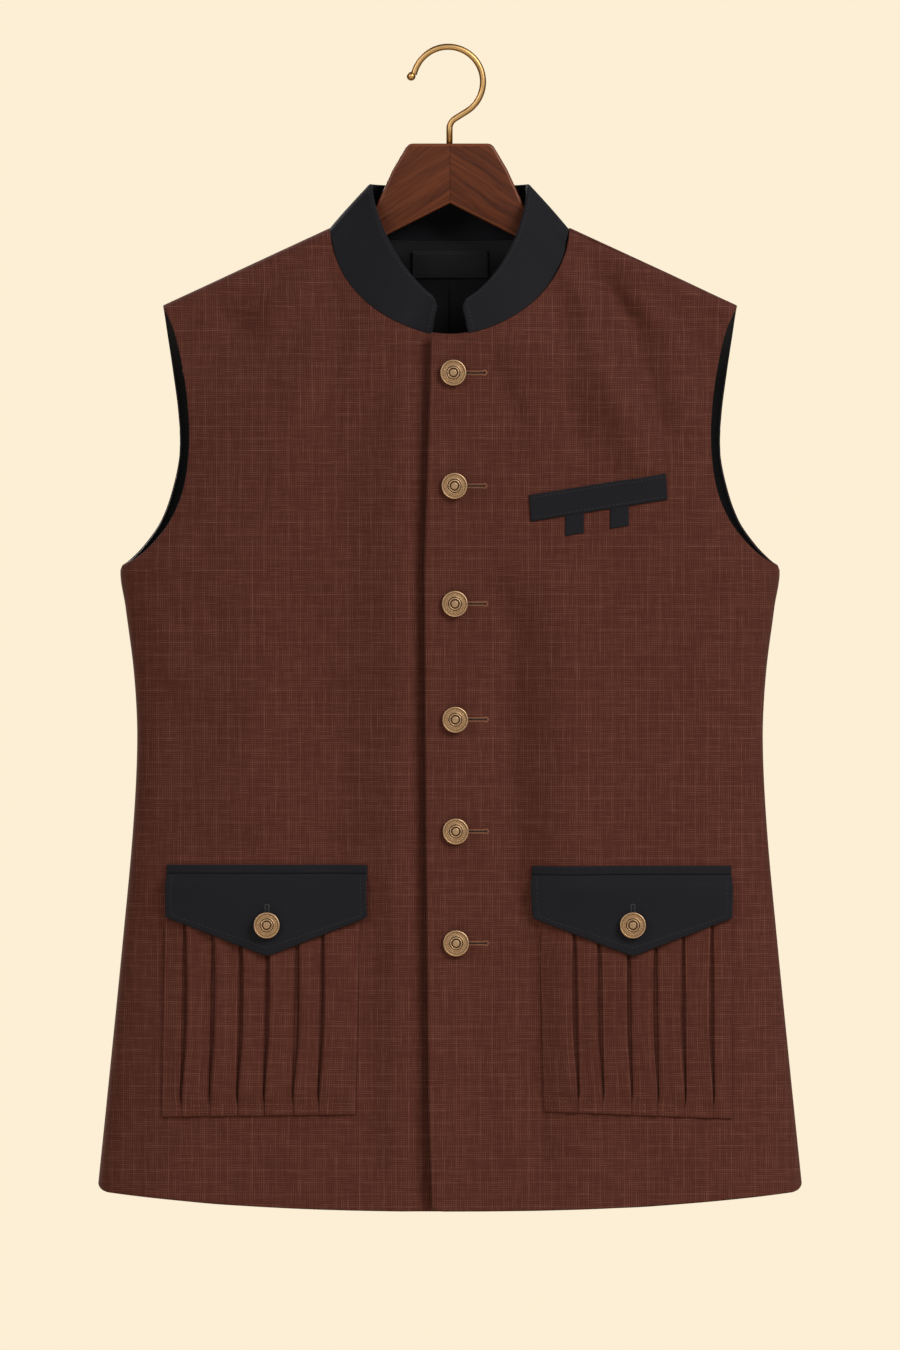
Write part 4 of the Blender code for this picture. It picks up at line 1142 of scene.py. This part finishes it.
def front_hole(z):
    """The place of the hole of the front button at this height. It runs across the front."""
    x = button_line(z)
    return lambda along, across, lift: on_front(LEFT, x + along, z + across, lift + HOLE_LIFT)[0]


def flap_hole(side):
    """The place of the hole of a flap's button. It runs up the flap."""
    x, face = flap_middle(side), FLAP_GAP + FLAP_LIFT + TRIM_WALL + HOLE_LIFT
    return lambda along, across, lift: on_front(side, x - across, FLAP_BUTTON_HEIGHT + along, lift + face)[0]


for number, height in enumerate(BUTTON_HEIGHTS, 1):
    buttonhole(f"front_{number}", "check_cloth", front_hole(height), HOLE_LENGTH, copper_thread)
for side, name in ((LEFT, "left"), (RIGHT, "right")):
    buttonhole(f"flap_{name}", "black_suiting", flap_hole(side), FLAP_HOLE_LENGTH, black_thread)


# ---- Stitching --------------------------------------------------------------------------------
# Rows of machine stitches hold the edges: black along the collar, the flaps, the breast welt and
# the label, and brown along the pockets and the neck of the left front.

STITCH_LENGTH, STITCH_GAP = 2.3, 0.8
STITCH_HALF_WIDE, STITCH_RISE = 0.2, 0.2
# Across a stitch: (aside, rise). Along it: (place, share of its full size).
STITCH_SECTION = ((-1.0, 0.15), (-0.55, 0.8), (0.55, 0.8), (1.0, 0.15))
STITCH_SWELL = ((-0.5, 0.25), (-0.3, 1.0), (0.3, 1.0), (0.5, 0.25))
# How far in from an edge the rows run.
COLLAR_ROW, COLLAR_ROW_IN = 36.6, 3.4
FLAP_ROW, FLAP_ROW_IN = 5.0, 4.4
WELT_ROWS, WELT_ROW_IN = (0.12, 0.88), 2.6
POCKET_FOOT_ROWS, POCKET_ROW_IN = (3.0, 8.6), 4.2
POCKET_SIDES_FROM, POCKET_SIDES_TO = 3.0, 22.0
# How far a foot row stops short of a fold on each side, and how high each row of a pocket lies.
AFTER_FOLD, BEFORE_FOLD = 1.4, 1.0
FIRST_LIFT, PLEAT_LIFT, POCKET_SIDE_LIFT = 0.8, 1.65, {"outer": 0.95, "inner": 1.25}
NECK_EDGE_ROW, NECK_EDGE_FROM, NECK_EDGE_TO = 5.6, -9.0, 12.0
LABEL_ROW_SINK = LABEL_SINK + 0.45


def stitched(name, routes, thread, slot):
    """Rows of stitches, each a small rounded bar. A route is points of the cloth and its normals."""
    count, rings = len(STITCH_SECTION), len(STITCH_SWELL)
    bar = np.array([(along * STITCH_LENGTH, aside * swell * STITCH_HALF_WIDE,
                     rise * (0.4 + 0.6 * swell) * STITCH_RISE)
                    for along, swell in STITCH_SWELL for aside, rise in STITCH_SECTION])
    index = np.arange(rings * count).reshape(rings, count)
    beside = np.roll(index, -1, axis=1)
    sides = np.stack([index[:-1], beside[:-1], beside[1:], index[1:]], axis=-1).reshape(-1, 4)
    sides = np.concatenate([sides, [np.roll(index[0][::-1], 1), index[-1]]])
    points = []
    for route, normals in routes:
        lengths = lengths_of(route)
        number = max(int(lengths[-1] / (STITCH_LENGTH + STITCH_GAP)), 1)
        at = (np.arange(number) + 0.5) * lengths[-1] / number
        up = unit(points_at(at, lengths, normals))
        ahead = unit(points_at(at + 0.5, lengths, route) - points_at(at - 0.5, lengths, route))
        turn = np.stack([ahead, unit(np.cross(up, ahead)), up], axis=1)
        points.append(bar @ turn + points_at(at, lengths, route)[:, None])
    points = np.concatenate(points)
    faces = (sides + np.arange(len(points))[:, None, None] * len(bar)).reshape(-1, 4)
    return settle(outwards(new_piece(name, points, faces.tolist(), (thread,))), slot)


def front_route(side, start, end, lift):
    """A route of stitches straight from one (x, z) place on a front to another."""
    start, end = np.array(start), np.array(end)
    path = np.linspace(start, end, max(int(hypot(*(end - start)) / 2), 2))
    return on_front(side, side * path[:, 0], path[:, 1], lift)


normals = face_normals(collar_face)
row = np.searchsorted(up * COLLAR_HEIGHT, COLLAR_ROW)
first, last = np.searchsorted(seam_length, (COLLAR_ROW_IN, seam_length[-1] - COLLAR_ROW_IN))
routes = [(collar_face[row, first:last], normals[row, first:last])]
routes += [(collar_face[2:row, column], normals[2:row, column]) for column in (first, last)]
stitched("stitching_collar", routes, black_thread, "black_suiting")

routes = []
for side in (LEFT, RIGHT):
    face = flap_face[side]
    normals = face_normals(face)
    row = np.searchsorted(up_flap * FLAP_LONG, FLAP_ROW)
    columns = np.nonzero(from_edges(face, ("start", "end"))[row] > FLAP_ROW_IN)[0]
    routes.append((face[row, columns], normals[row, columns]))
    routes += [(face[row:-4, column], normals[row:-4, column]) for column in (columns[0], columns[-1])]
x = np.linspace(WELT_LOW_INNER[0] + WELT_ROW_IN, WELT_LOW_OUTER[0] - WELT_ROW_IN, 60)
for v in WELT_ROWS:
    routes.append(on_front(LEFT, x - WELT_LEAN * v, breast_level(x) + WELT_HEIGHT * v, TRIM_LIFT + TRIM_WALL))
stitched("stitching_flaps_and_welt", routes, black_thread, "black_suiting")

for side, name in ((LEFT, "left"), (RIGHT, "right")):
    size = POCKETS[side]
    wide = size["outer_top"] - size["inner_top"]
    routes = []
    for above in POCKET_FOOT_ROWS:
        for start, end in zip((0.0, *PLEATS), (*PLEATS, wide)):
            shares = np.array([start + AFTER_FOLD, end - BEFORE_FOLD]) / wide
            x = mix(size["outer_foot"], size["inner_foot"], shares)
            z = mix(size["outer_low"], size["inner_low"], shares) + above
            lift = PLEAT_LIFT if start else FIRST_LIFT
            routes.append(front_route(side, (x[0], z[0]), (x[1], z[1]), lift))
    for edge, inwards in (("outer", -POCKET_ROW_IN), ("inner", POCKET_ROW_IN)):
        foot = (size[edge + "_foot"] + inwards, size[edge + "_low"] + POCKET_SIDES_FROM)
        top = (size[edge + "_top"] + inwards, size["top"] - POCKET_SIDES_TO)
        routes.append(front_route(side, foot, top, POCKET_SIDE_LIFT[edge]))
    stitched("stitching_pocket_" + name, routes, copper_thread, "check_cloth")

x = np.linspace(NECK_EDGE_FROM, NECK_EDGE_TO, 16)
stitched("stitching_neck_edge", [on_front(LEFT, x, np.full(16, neckline(0.0) - NECK_EDGE_ROW), 0.0)],
         copper_thread, "check_cloth")

routes = []
side_x = LABEL_HALF - LABEL_SEAM
low_z, high_z = LABEL_TOP - LABEL_HEIGHT + LABEL_SEAM, LABEL_TOP - LABEL_SEAM
across, upward = np.linspace(-side_x, side_x, 30), np.linspace(low_z, high_z, 12)
for x, z in ((across, low_z), (across, high_z), (-side_x, upward), (side_x, upward)):
    places, out = outward(back_skin, x, along_cloth(x, z), -LABEL_ROW_SINK)
    routes.append((places, -out))
stitched("stitching_label", routes, black_thread, "label_cloth")


# ---- Buttons ----------------------------------------------------------------------------------
# Eight cast buttons of antique brass, each with a rim, a band of small raised leaves, two rings
# and a round boss, and a shank behind that is sewn through the cloth.

BUTTON_RADIUS, BUTTON_SIDES = 10.0, 56
BUTTON_BACK, BUTTON_THICK = 1.9, 2.0
BUTTON_TOP = BUTTON_BACK + BUTTON_THICK
RIM_BACK, BACK_HOLLOW = 0.6, 0.25
# From the rim to the boss: how far in each step goes, and how far it rises.
BUTTON_FACE = (
    (0.35, 0.35), (0.50, 0.10), (0.30, -0.60), (2.70, 0.10), (0.25, 0.40), (0.35, 0.0), (0.25, -0.75),
    (0.45, 0.0), (0.25, 0.85), (0.70, 0.08), (0.25, -0.95), (0.90, 0.0), (0.25, 0.70), (0.60, 0.05),
)
SHANK_RADIUS = 3.0
# Pairs of leaves round the button, the radius of their ring, their half sizes and their slant.
LEAVES, LEAF_RING, LEAF_SINK = 18, 7.35, 0.02
LEAF_SIZE, LEAF_TURN = (0.34, 0.72, 0.24), 32.0
# Where the patina ends and over what height the brass is rubbed bright.
PATINA_DEEP, RUBBED_OVER = 0.35, 0.85
FRONT_BUTTON_LIFT = 0.65
FLAP_BUTTON_LIFT = FLAP_LIFT + TRIM_WALL + 1.05
# The share of the cloth's own slant that a button takes.
BUTTON_LEAN = 0.35
BUTTON_TURN = 0.7
PATINA, BRASS, RUBBED_BRASS = (0.110, 0.060, 0.028), (0.48, 0.310, 0.170), (0.67, 0.460, 0.280)


def pick_faces(obj, wanted):
    """In edit mode, selects the faces whose centre and normal pass a test."""
    bpy.ops.object.mode_set(mode="OBJECT")
    mesh = obj.data
    for part in (mesh.vertices, mesh.edges, mesh.polygons):
        part.foreach_set("select", [False] * len(part))
    for polygon in mesh.polygons:
        polygon.select = wanted(polygon.center, polygon.normal)
    bpy.ops.object.mode_set(mode="EDIT")
    bpy.ops.mesh.select_mode(type="FACE")


def marked(obj, name, values):
    """Gives each vertex of a piece a value that its finish reads."""
    obj.data.attributes.new(name, "FLOAT", "POINT").data.foreach_set("value", values)


def cast_button():
    """One button, with its face up +Z and its shank's foot at the origin."""
    bpy.ops.object.select_all(action="DESELECT")
    bpy.ops.mesh.primitive_cylinder_add(
        vertices=BUTTON_SIDES, radius=BUTTON_RADIUS * MM, depth=BUTTON_THICK * MM,
        location=(0, 0, (BUTTON_BACK + BUTTON_THICK / 2) * MM))
    body = bpy.context.object
    bpy.ops.object.transform_apply(location=True)
    pick_faces(body, lambda centre, normal: normal.z > 0.9)
    for inset, rise in BUTTON_FACE:
        bpy.ops.mesh.inset(thickness=inset * MM, depth=rise * MM)
    pick_faces(body, lambda centre, normal: normal.z < -0.9)
    bpy.ops.mesh.inset(thickness=RIM_BACK * MM, depth=BACK_HOLLOW * MM)
    bpy.ops.mesh.inset(thickness=(BUTTON_RADIUS - RIM_BACK - SHANK_RADIUS) * MM, depth=0.0)
    bpy.ops.mesh.extrude_region_move(
        TRANSFORM_OT_translate={"value": (0, 0, -(BUTTON_BACK + BACK_HOLLOW) * MM)})
    bpy.ops.object.mode_set(mode="OBJECT")
    eased = only(body).modifiers.new("eased", "BEVEL")
    eased.width, eased.segments = 0.1 * MM, 2
    eased.limit_method, eased.angle_limit = "ANGLE", radians(25)
    bpy.ops.object.modifier_apply(modifier=eased.name)
    leaves = []
    for k in range(LEAVES):
        for lean in (-1, 1):
            angle = 2 * pi * (k + 0.25 * lean) / LEAVES
            place = Vector((LEAF_RING * cos(angle), LEAF_RING * sin(angle), BUTTON_TOP - LEAF_SINK))
            bpy.ops.object.select_all(action="DESELECT")
            bpy.ops.mesh.primitive_uv_sphere_add(
                segments=8, ring_count=6, radius=MM, location=place * MM,
                rotation=(0, 0, angle + radians(LEAF_TURN) * lean), scale=LEAF_SIZE)
            leaves.append(bpy.context.object)
    only(body)
    for leaf in leaves:
        leaf.select_set(True)
    bpy.ops.object.transform_apply(location=True, rotation=True, scale=True)
    bpy.ops.object.join()
    heights = np.array([vert.co.z for vert in body.data.vertices]) / MM
    marked(body, "wear", np.clip((heights - BUTTON_TOP + PATINA_DEEP) / RUBBED_OVER, 0.0, 1.0))
    body.data.materials.append(antique_brass)
    body.data.shade_smooth()
    body.data.set_sharp_from_angle(angle=radians(50))
    return body


def brass_finish():
    """Brass, dark with patina in its hollows and rubbed bright where it stands proud."""
    material, tree, shader = begin_finish("antique brass", 0.5, Metallic=1.0)
    wear = node(tree, "Attribute", attribute_name="wear").outputs["Fac"]
    coordinates = node(tree, "TexCoord").outputs["Object"]
    blotch = noise(tree, 420.0, 3.0, coordinates)
    rubbed = calc(tree, "MULTIPLY_ADD", blotch, 0.14, calc(tree, "MULTIPLY", wear, 0.86))
    colour = ramp(tree, rubbed, (0.10, PATINA), (0.45, BRASS), (0.90, RUBBED_BRASS))
    tree.links.new(colour, shader.inputs["Base Color"])
    tree.links.new(rescale(tree, rubbed, 0.1, 0.9, 0.62, 0.42), shader.inputs["Roughness"])
    return material


def button_matrix(side, x, z, lift, turn):
    """Where a button's shank meets the front's cloth, in metres, and the way it faces."""
    spot, normal = on_front(side, np.float64(x), np.float64(z), lift)
    normal = unit(normal * (BUTTON_LEAN, 1.0, BUTTON_LEAN))
    facing = Vector((0, 0, 1)).rotation_difference(Vector(normal)).to_matrix().to_4x4()
    return Matrix.Translation(Vector(spot) * MM) @ facing @ Matrix.Rotation(turn, 4, "Z")


antique_brass = brass_finish()
master = cast_button()
places = [(f"front_{k}", LEFT, button_line(z), z, FRONT_BUTTON_LIFT)
          for k, z in enumerate(BUTTON_HEIGHTS, 1)]
for side, name in ((LEFT, "left"), (RIGHT, "right")):
    places.append(("flap_" + name, side, flap_middle(side), FLAP_BUTTON_HEIGHT, FLAP_BUTTON_LIFT))
for number, (name, side, x, z, lift) in enumerate(places):
    button = place_object("button_" + name + "_cast", master.data.copy())
    button.data.transform(button_matrix(side, x, z, lift, BUTTON_TURN * number))
    settle(button, "button_metal", "button_" + name)
bpy.data.objects.remove(master)


# ---- The hanger -------------------------------------------------------------------------------
# The hanger is two pieces of walnut, joined by a mitre at the middle with their grain rising to
# it, cut to one outline, with its edges eased and its faces oiled.

HANGER_THICK, HANGER_EDGE = 11.0, 2.3
# Half of the outline: x, z and the radius of the corner.
HANGER_HALF = (
    (0.0, -72.4, 0.0),
    (32.4, -72.4, 7.0),
    (44.0, -92.0, 40.0),
    (61.0, -129.0, 12.0),
    (96.0, -153.0, 60.0),
    (206.0, -199.0, 6.0),
    (200.5, -213.0, 7.0),
    (60.0, -149.0, 60.0),
    (0.0, -118.6, 0.0),
)
CORNER_STEPS = 12
# The grain rises to the middle at this angle. The mitre's dark line is this wide, in metres.
GRAIN_RISE = 33.0
MITRE_WIDE = 0.00056
WALNUT_DARK, WALNUT, WALNUT_LIGHT = (
    (0.038, 0.0094, 0.0038), (0.092, 0.0238, 0.0092), (0.152, 0.043, 0.0168))
# The eased edges' vertices that get a painted highlight, told by how far they face to the front or the back.
HIGHLIGHT_FROM, HIGHLIGHT_TO = 0.55, 0.97


def rounded(corners, steps):
    """A closed outline with each (x, z, radius) corner rounded."""
    outline = []
    for i, (x, z, radius) in enumerate(corners):
        here = Vector((x, z))
        if radius == 0:
            outline.append(here)
            continue
        back = (Vector(corners[i - 1][:2]) - here).normalized()
        ahead = (Vector(corners[(i + 1) % len(corners)][:2]) - here).normalized()
        half = back.angle(ahead) / 2
        cut = radius * cos(half) / sin(half)
        start, end = here + back * cut, here + ahead * cut
        for k in range(steps + 1):
            t = k / steps
            outline.append(start * (1 - t) ** 2 + here * 2 * t * (1 - t) + end * t * t)
    return outline


def walnut_finish():
    """Walnut whose grain runs up to the mitre from both sides, with a painted highlight along the eased
    edges.
    """
    material, tree, shader = begin_finish("oiled walnut", 0.42, Specular_IOR_Level=0.22)
    coordinates = node(tree, "TexCoord").outputs["Object"]
    place = node(tree, "SeparateXYZ", {"Vector": coordinates})
    x, y, z = (place.outputs[axis] for axis in "XYZ")
    mirrored = calc(tree, "ABSOLUTE", x)
    half = calc(tree, "SIGN", x)
    rise, run = sin(radians(GRAIN_RISE)), cos(radians(GRAIN_RISE))
    wander = calc(tree, "MULTIPLY", noise(tree, 24.0, 2.0, coordinates), 0.006)
    across = calc(tree, "MULTIPLY_ADD", mirrored, rise, calc(tree, "MULTIPLY_ADD", z, run, wander))
    along = calc(tree, "MULTIPLY_ADD", mirrored, run, calc(tree, "MULTIPLY", z, -rise))

    def grain(scale_across, scale_along, detail, seed):
        """Mottle drawn out along the grain, with its own place on each half."""
        vector = node(tree, "CombineXYZ", {
            "X": calc(tree, "MULTIPLY", across, scale_across),
            "Y": calc(tree, "MULTIPLY_ADD", along, scale_along, calc(tree, "MULTIPLY", half, seed)),
            "Z": calc(tree, "MULTIPLY", y, scale_across * 0.5)})
        return noise(tree, 1.0, detail, vector.outputs[0])

    bands = grain(150.0, 9.0, 4.0, 3.1)
    streaks = grain(620.0, 20.0, 3.0, 7.7)
    pores = rescale(tree, grain(1500.0, 60.0, 1.0, 1.3), 0.62, 0.74)
    total = calc(tree, "MULTIPLY_ADD", bands, 0.48, calc(tree, "MULTIPLY", streaks, 0.56))
    total = calc(tree, "MULTIPLY_ADD", pores, -0.16, total)
    # A painted highlight: the vertices of the eased edges are made lighter.
    edge = node(tree, "Attribute", attribute_name="eased").outputs["Fac"]
    total = calc(tree, "MULTIPLY_ADD", edge, 0.34, total)
    mitre = rescale(tree, mirrored, 0.0, MITRE_WIDE, -0.22, 0.0)
    total = calc(tree, "ADD", total, mitre)
    total = calc(tree, "MULTIPLY_ADD", half, -0.012, total)
    colour = ramp(tree, total, (0.30, WALNUT_DARK), (0.50, WALNUT), (0.72, WALNUT_LIGHT))
    tree.links.new(colour, shader.inputs["Base Color"])
    tree.links.new(rescale(tree, streaks, 0.3, 0.7, 0.46, 0.36), shader.inputs["Roughness"])
    bump(tree, shader, calc(tree, "MULTIPLY_ADD", pores, -0.6, streaks), 0.12, 0.0002)
    return material


left_half = [(-x, z, radius) for x, z, radius in reversed(HANGER_HALF[1:-1])]
outline = bpy.data.curves.new("hanger_outline", "CURVE")
outline.dimensions = "2D"
outline.fill_mode = "BOTH"
outline.extrude = (HANGER_THICK / 2 - HANGER_EDGE) * MM
outline.bevel_depth = HANGER_EDGE * MM
outline.bevel_resolution = 3
outline.offset = -HANGER_EDGE * MM
spline = outline.splines.new("POLY")
corners = rounded(list(HANGER_HALF) + left_half, CORNER_STEPS)
spline.points.add(len(corners) - 1)
for point, corner in zip(spline.points, corners):
    point.co = (corner.x * MM, corner.y * MM, 0.0, 1.0)
spline.use_cyclic_u = True
only(place_object("hanger_board", outline))
bpy.ops.object.convert(target="MESH")
board = bpy.context.object
bpy.ops.object.mode_set(mode="EDIT")
bpy.ops.mesh.select_all(action="SELECT")
bpy.ops.mesh.remove_doubles(threshold=0.00001)
bpy.ops.object.mode_set(mode="OBJECT")
board.data.transform(Matrix.Rotation(pi / 2, 4, "X"))
outwards(board)
board.data.materials.clear()
board.data.materials.append(walnut_finish())
# Marks the vertices of the eased edges for the painted highlight in the walnut's colour.
marked(board, "eased", [float(HIGHLIGHT_FROM < abs(vert.normal.y) < HIGHLIGHT_TO) for vert in board.data.vertices])
board.data.shade_smooth()
board.data.set_sharp_from_angle(angle=radians(24))
settle(board, "walnut", "hanger")


# ---- The hook ---------------------------------------------------------------------------------
# The hook is brass wire, bent round a former into an open arc with a small ball at its end, bent
# back to the middle and pushed into a bore in the top of the board.

WIRE_RADIUS, WIRE_SIDES = 2.4, 24
# The arc's centre, its radius to the middle of the wire, and the angles of its two ends.
HOOK_CENTRE = Vector((-1.5, 0.0, -24.6))
HOOK_RADIUS = 27.0
HOOK_TIP_ANGLE, HOOK_FOOT_ANGLE = 168.0, -58.0
STEM_X, STEM_FOOT = -0.4, -82.0
STEM_BEND_RADIUS = 9.0
BALL_RADIUS, BALL_PLACE = 3.4, Vector((-30.0, 0.0, -20.4))
WIRE_PAINTED_SHADE, WIRE_BRASS, WIRE_PAINTED_HIGHLIGHT = (0.130, 0.052, 0.011), (0.43, 0.205, 0.052), (0.90, 0.600, 0.270)


def hook_finish():
    """Brass with a painted highlight where the wire faces the front or the back, and painted shade round its
    sides.
    """
    material, tree, shader = begin_finish("hook brass", 0.44, Metallic=1.0)
    coordinates = node(tree, "TexCoord").outputs["Object"]
    # Painted light: where the wire faces the front or the back it gets a painted highlight, and its sides get
    # painted shade.
    painted_shine = node(tree, "Attribute", attribute_name="painted_shine").outputs["Fac"]
    painted_shine = calc(tree, "MULTIPLY", painted_shine, 0.95)
    mottle_and_painted_shine = calc(tree, "MULTIPLY_ADD", noise(tree, 90.0, 2.0, coordinates), 0.08, painted_shine)
    colour = ramp(tree, mottle_and_painted_shine, (0.52, WIRE_PAINTED_SHADE), (0.84, WIRE_BRASS), (0.97, WIRE_PAINTED_HIGHLIGHT))
    tree.links.new(colour, shader.inputs["Base Color"])
    return material


tip, foot = radians(HOOK_TIP_ANGLE), radians(HOOK_FOOT_ANGLE)
start, end = (HOOK_CENTRE + HOOK_RADIUS * Vector((cos(a), 0, sin(a))) for a in (tip, foot))
bpy.ops.object.select_all(action="DESELECT")
bpy.ops.mesh.primitive_circle_add(
    vertices=WIRE_SIDES, radius=WIRE_RADIUS * MM, fill_type="NGON", location=start * MM)
wire = bpy.context.object
wire.name = "hanger_hook_wire"
wire.data.transform(Matrix.Rotation(-(tip - pi), 4, "Y"))
bpy.ops.object.transform_apply(location=True)
bpy.ops.object.mode_set(mode="EDIT")
bpy.ops.mesh.select_all(action="SELECT")
bpy.ops.mesh.spin(steps=96, dupli=False, angle=foot - tip, center=HOOK_CENTRE * MM, axis=(0, 1, 0))
heading = Vector((sin(foot), 0, -cos(foot)))
straight = (end.x - STEM_X - STEM_BEND_RADIUS * (1 - cos(foot))) / -heading.x
bpy.ops.mesh.extrude_region_move(TRANSFORM_OT_translate={"value": heading * straight * MM})
end += heading * straight
bend_centre = Vector((STEM_X + STEM_BEND_RADIUS, 0, end.z + heading.x * STEM_BEND_RADIUS))
bpy.ops.mesh.spin(steps=20, dupli=False, angle=-foot, center=bend_centre * MM, axis=(0, 1, 0))
bpy.ops.mesh.extrude_region_move(
    TRANSFORM_OT_translate={"value": Vector((0, 0, STEM_FOOT - bend_centre.z)) * MM})
bpy.ops.object.mode_set(mode="OBJECT")
outwards(wire)
bpy.ops.object.select_all(action="DESELECT")
bpy.ops.mesh.primitive_uv_sphere_add(segments=32, ring_count=20, radius=BALL_RADIUS * MM,
                                     location=BALL_PLACE * MM)
bpy.ops.object.transform_apply(location=True)
wire.select_set(True)
bpy.context.view_layer.objects.active = wire
bpy.ops.object.join()
wire.data.materials.clear()
wire.data.materials.append(hook_finish())
wire.data.shade_smooth()
# Marks each vertex by how far it faces the front or the back, for the hook's painted highlight and shade.
marked(wire, "painted_shine", [abs(vert.normal.y) for vert in wire.data.vertices])
settle(wire, "hook_brass", "hanger_hook")


# ---- The studio -------------------------------------------------------------------------------
# A pale cream floor lies well below the hanging jacket, in an even cream room. A broad soft lamp
# stands high in front on one side, and weaker ones stand on the other side and behind.

# Metres, as the lamps and the camera are.
FLOOR_HEIGHT, FLOOR_RADIUS = -1.5, 2.6
FLOOR_DARK, FLOOR_LIGHT = (0.88, 0.78, 0.60), (0.90, 0.80, 0.62)
CREAM = (0.975, 0.862, 0.665)
ROOM_LIGHT = (1.0, 0.955, 0.90)
ROOM_STRENGTH = 0.24
LENS = 692.0
CAMERA_PLACE = (0.0, -20.05, -0.483)

bpy.ops.object.select_all(action="DESELECT")
bpy.ops.mesh.primitive_circle_add(vertices=96, radius=FLOOR_RADIUS, fill_type="NGON",
                                  location=(0, 0, FLOOR_HEIGHT))
floor = bpy.context.object
floor.name = "studio_floor"
material, tree, shader = begin_finish("cream floor", 0.9)
grain = noise(tree, 3.0, 3.0, node(tree, "TexCoord").outputs["Object"])
tree.links.new(ramp(tree, grain, (0.3, FLOOR_DARK), (0.7, FLOOR_LIGHT)), shader.inputs["Base Color"])
floor.data.materials.append(material)

world = bpy.data.worlds.new("cream room")
bpy.context.scene.world = world
world.use_nodes = True
tree = world.node_tree
seen = tree.nodes["Background"]
seen.inputs["Color"].default_value = (*CREAM, 1.0)
lit = node(tree, "Background", {"Color": (*ROOM_LIGHT, 1.0), "Strength": ROOM_STRENGTH})
choice = node(tree, "MixShader", {0: node(tree, "LightPath").outputs["Is Camera Ray"]})
tree.links.new(lit.outputs[0], choice.inputs[1])
tree.links.new(seen.outputs[0], choice.inputs[2])
tree.links.new(choice.outputs[0], tree.nodes["World Output"].inputs["Surface"])


def soft_lamp(name, place, aim, size, power, colour):
    """A round lamp at a place, turned to what it lights."""
    lamp = bpy.data.lights.new(name, "AREA")
    lamp.shape = "DISK"
    lamp.size = size
    lamp.energy = power
    lamp.color = colour
    holder = place_object(name, lamp)
    holder.location = place
    holder.rotation_euler = (Vector(aim) - Vector(place)).to_track_quat("-Z", "Y").to_euler()


JACKET_MIDDLE = (0.0, 0.0, -0.5)
WARM_WHITE, WARMER_WHITE = (1.0, 0.975, 0.95), (1.0, 0.97, 0.94)
soft_lamp("key_lamp", (5.2, -5.0, 4.2), JACKET_MIDDLE, 4.6, 575.0, WARM_WHITE)
soft_lamp("fill_lamp", (-3.4, -4.0, 2.0), JACKET_MIDDLE, 2.6, 90.0, WARMER_WHITE)
soft_lamp("back_lamp", (-3.0, 5.0, 2.6), JACKET_MIDDLE, 3.0, 230.0, WARMER_WHITE)

camera = bpy.data.cameras.new("camera")
camera.sensor_width = 36.0
camera.lens = LENS
camera.clip_start = 0.1
camera.clip_end = 50.0
holder = place_object("camera", camera)
holder.location = CAMERA_PLACE
holder.rotation_euler = (pi / 2, 0.0, 0.0)
bpy.context.scene.camera = holder
bpy.context.scene.view_settings.view_transform = "Standard"
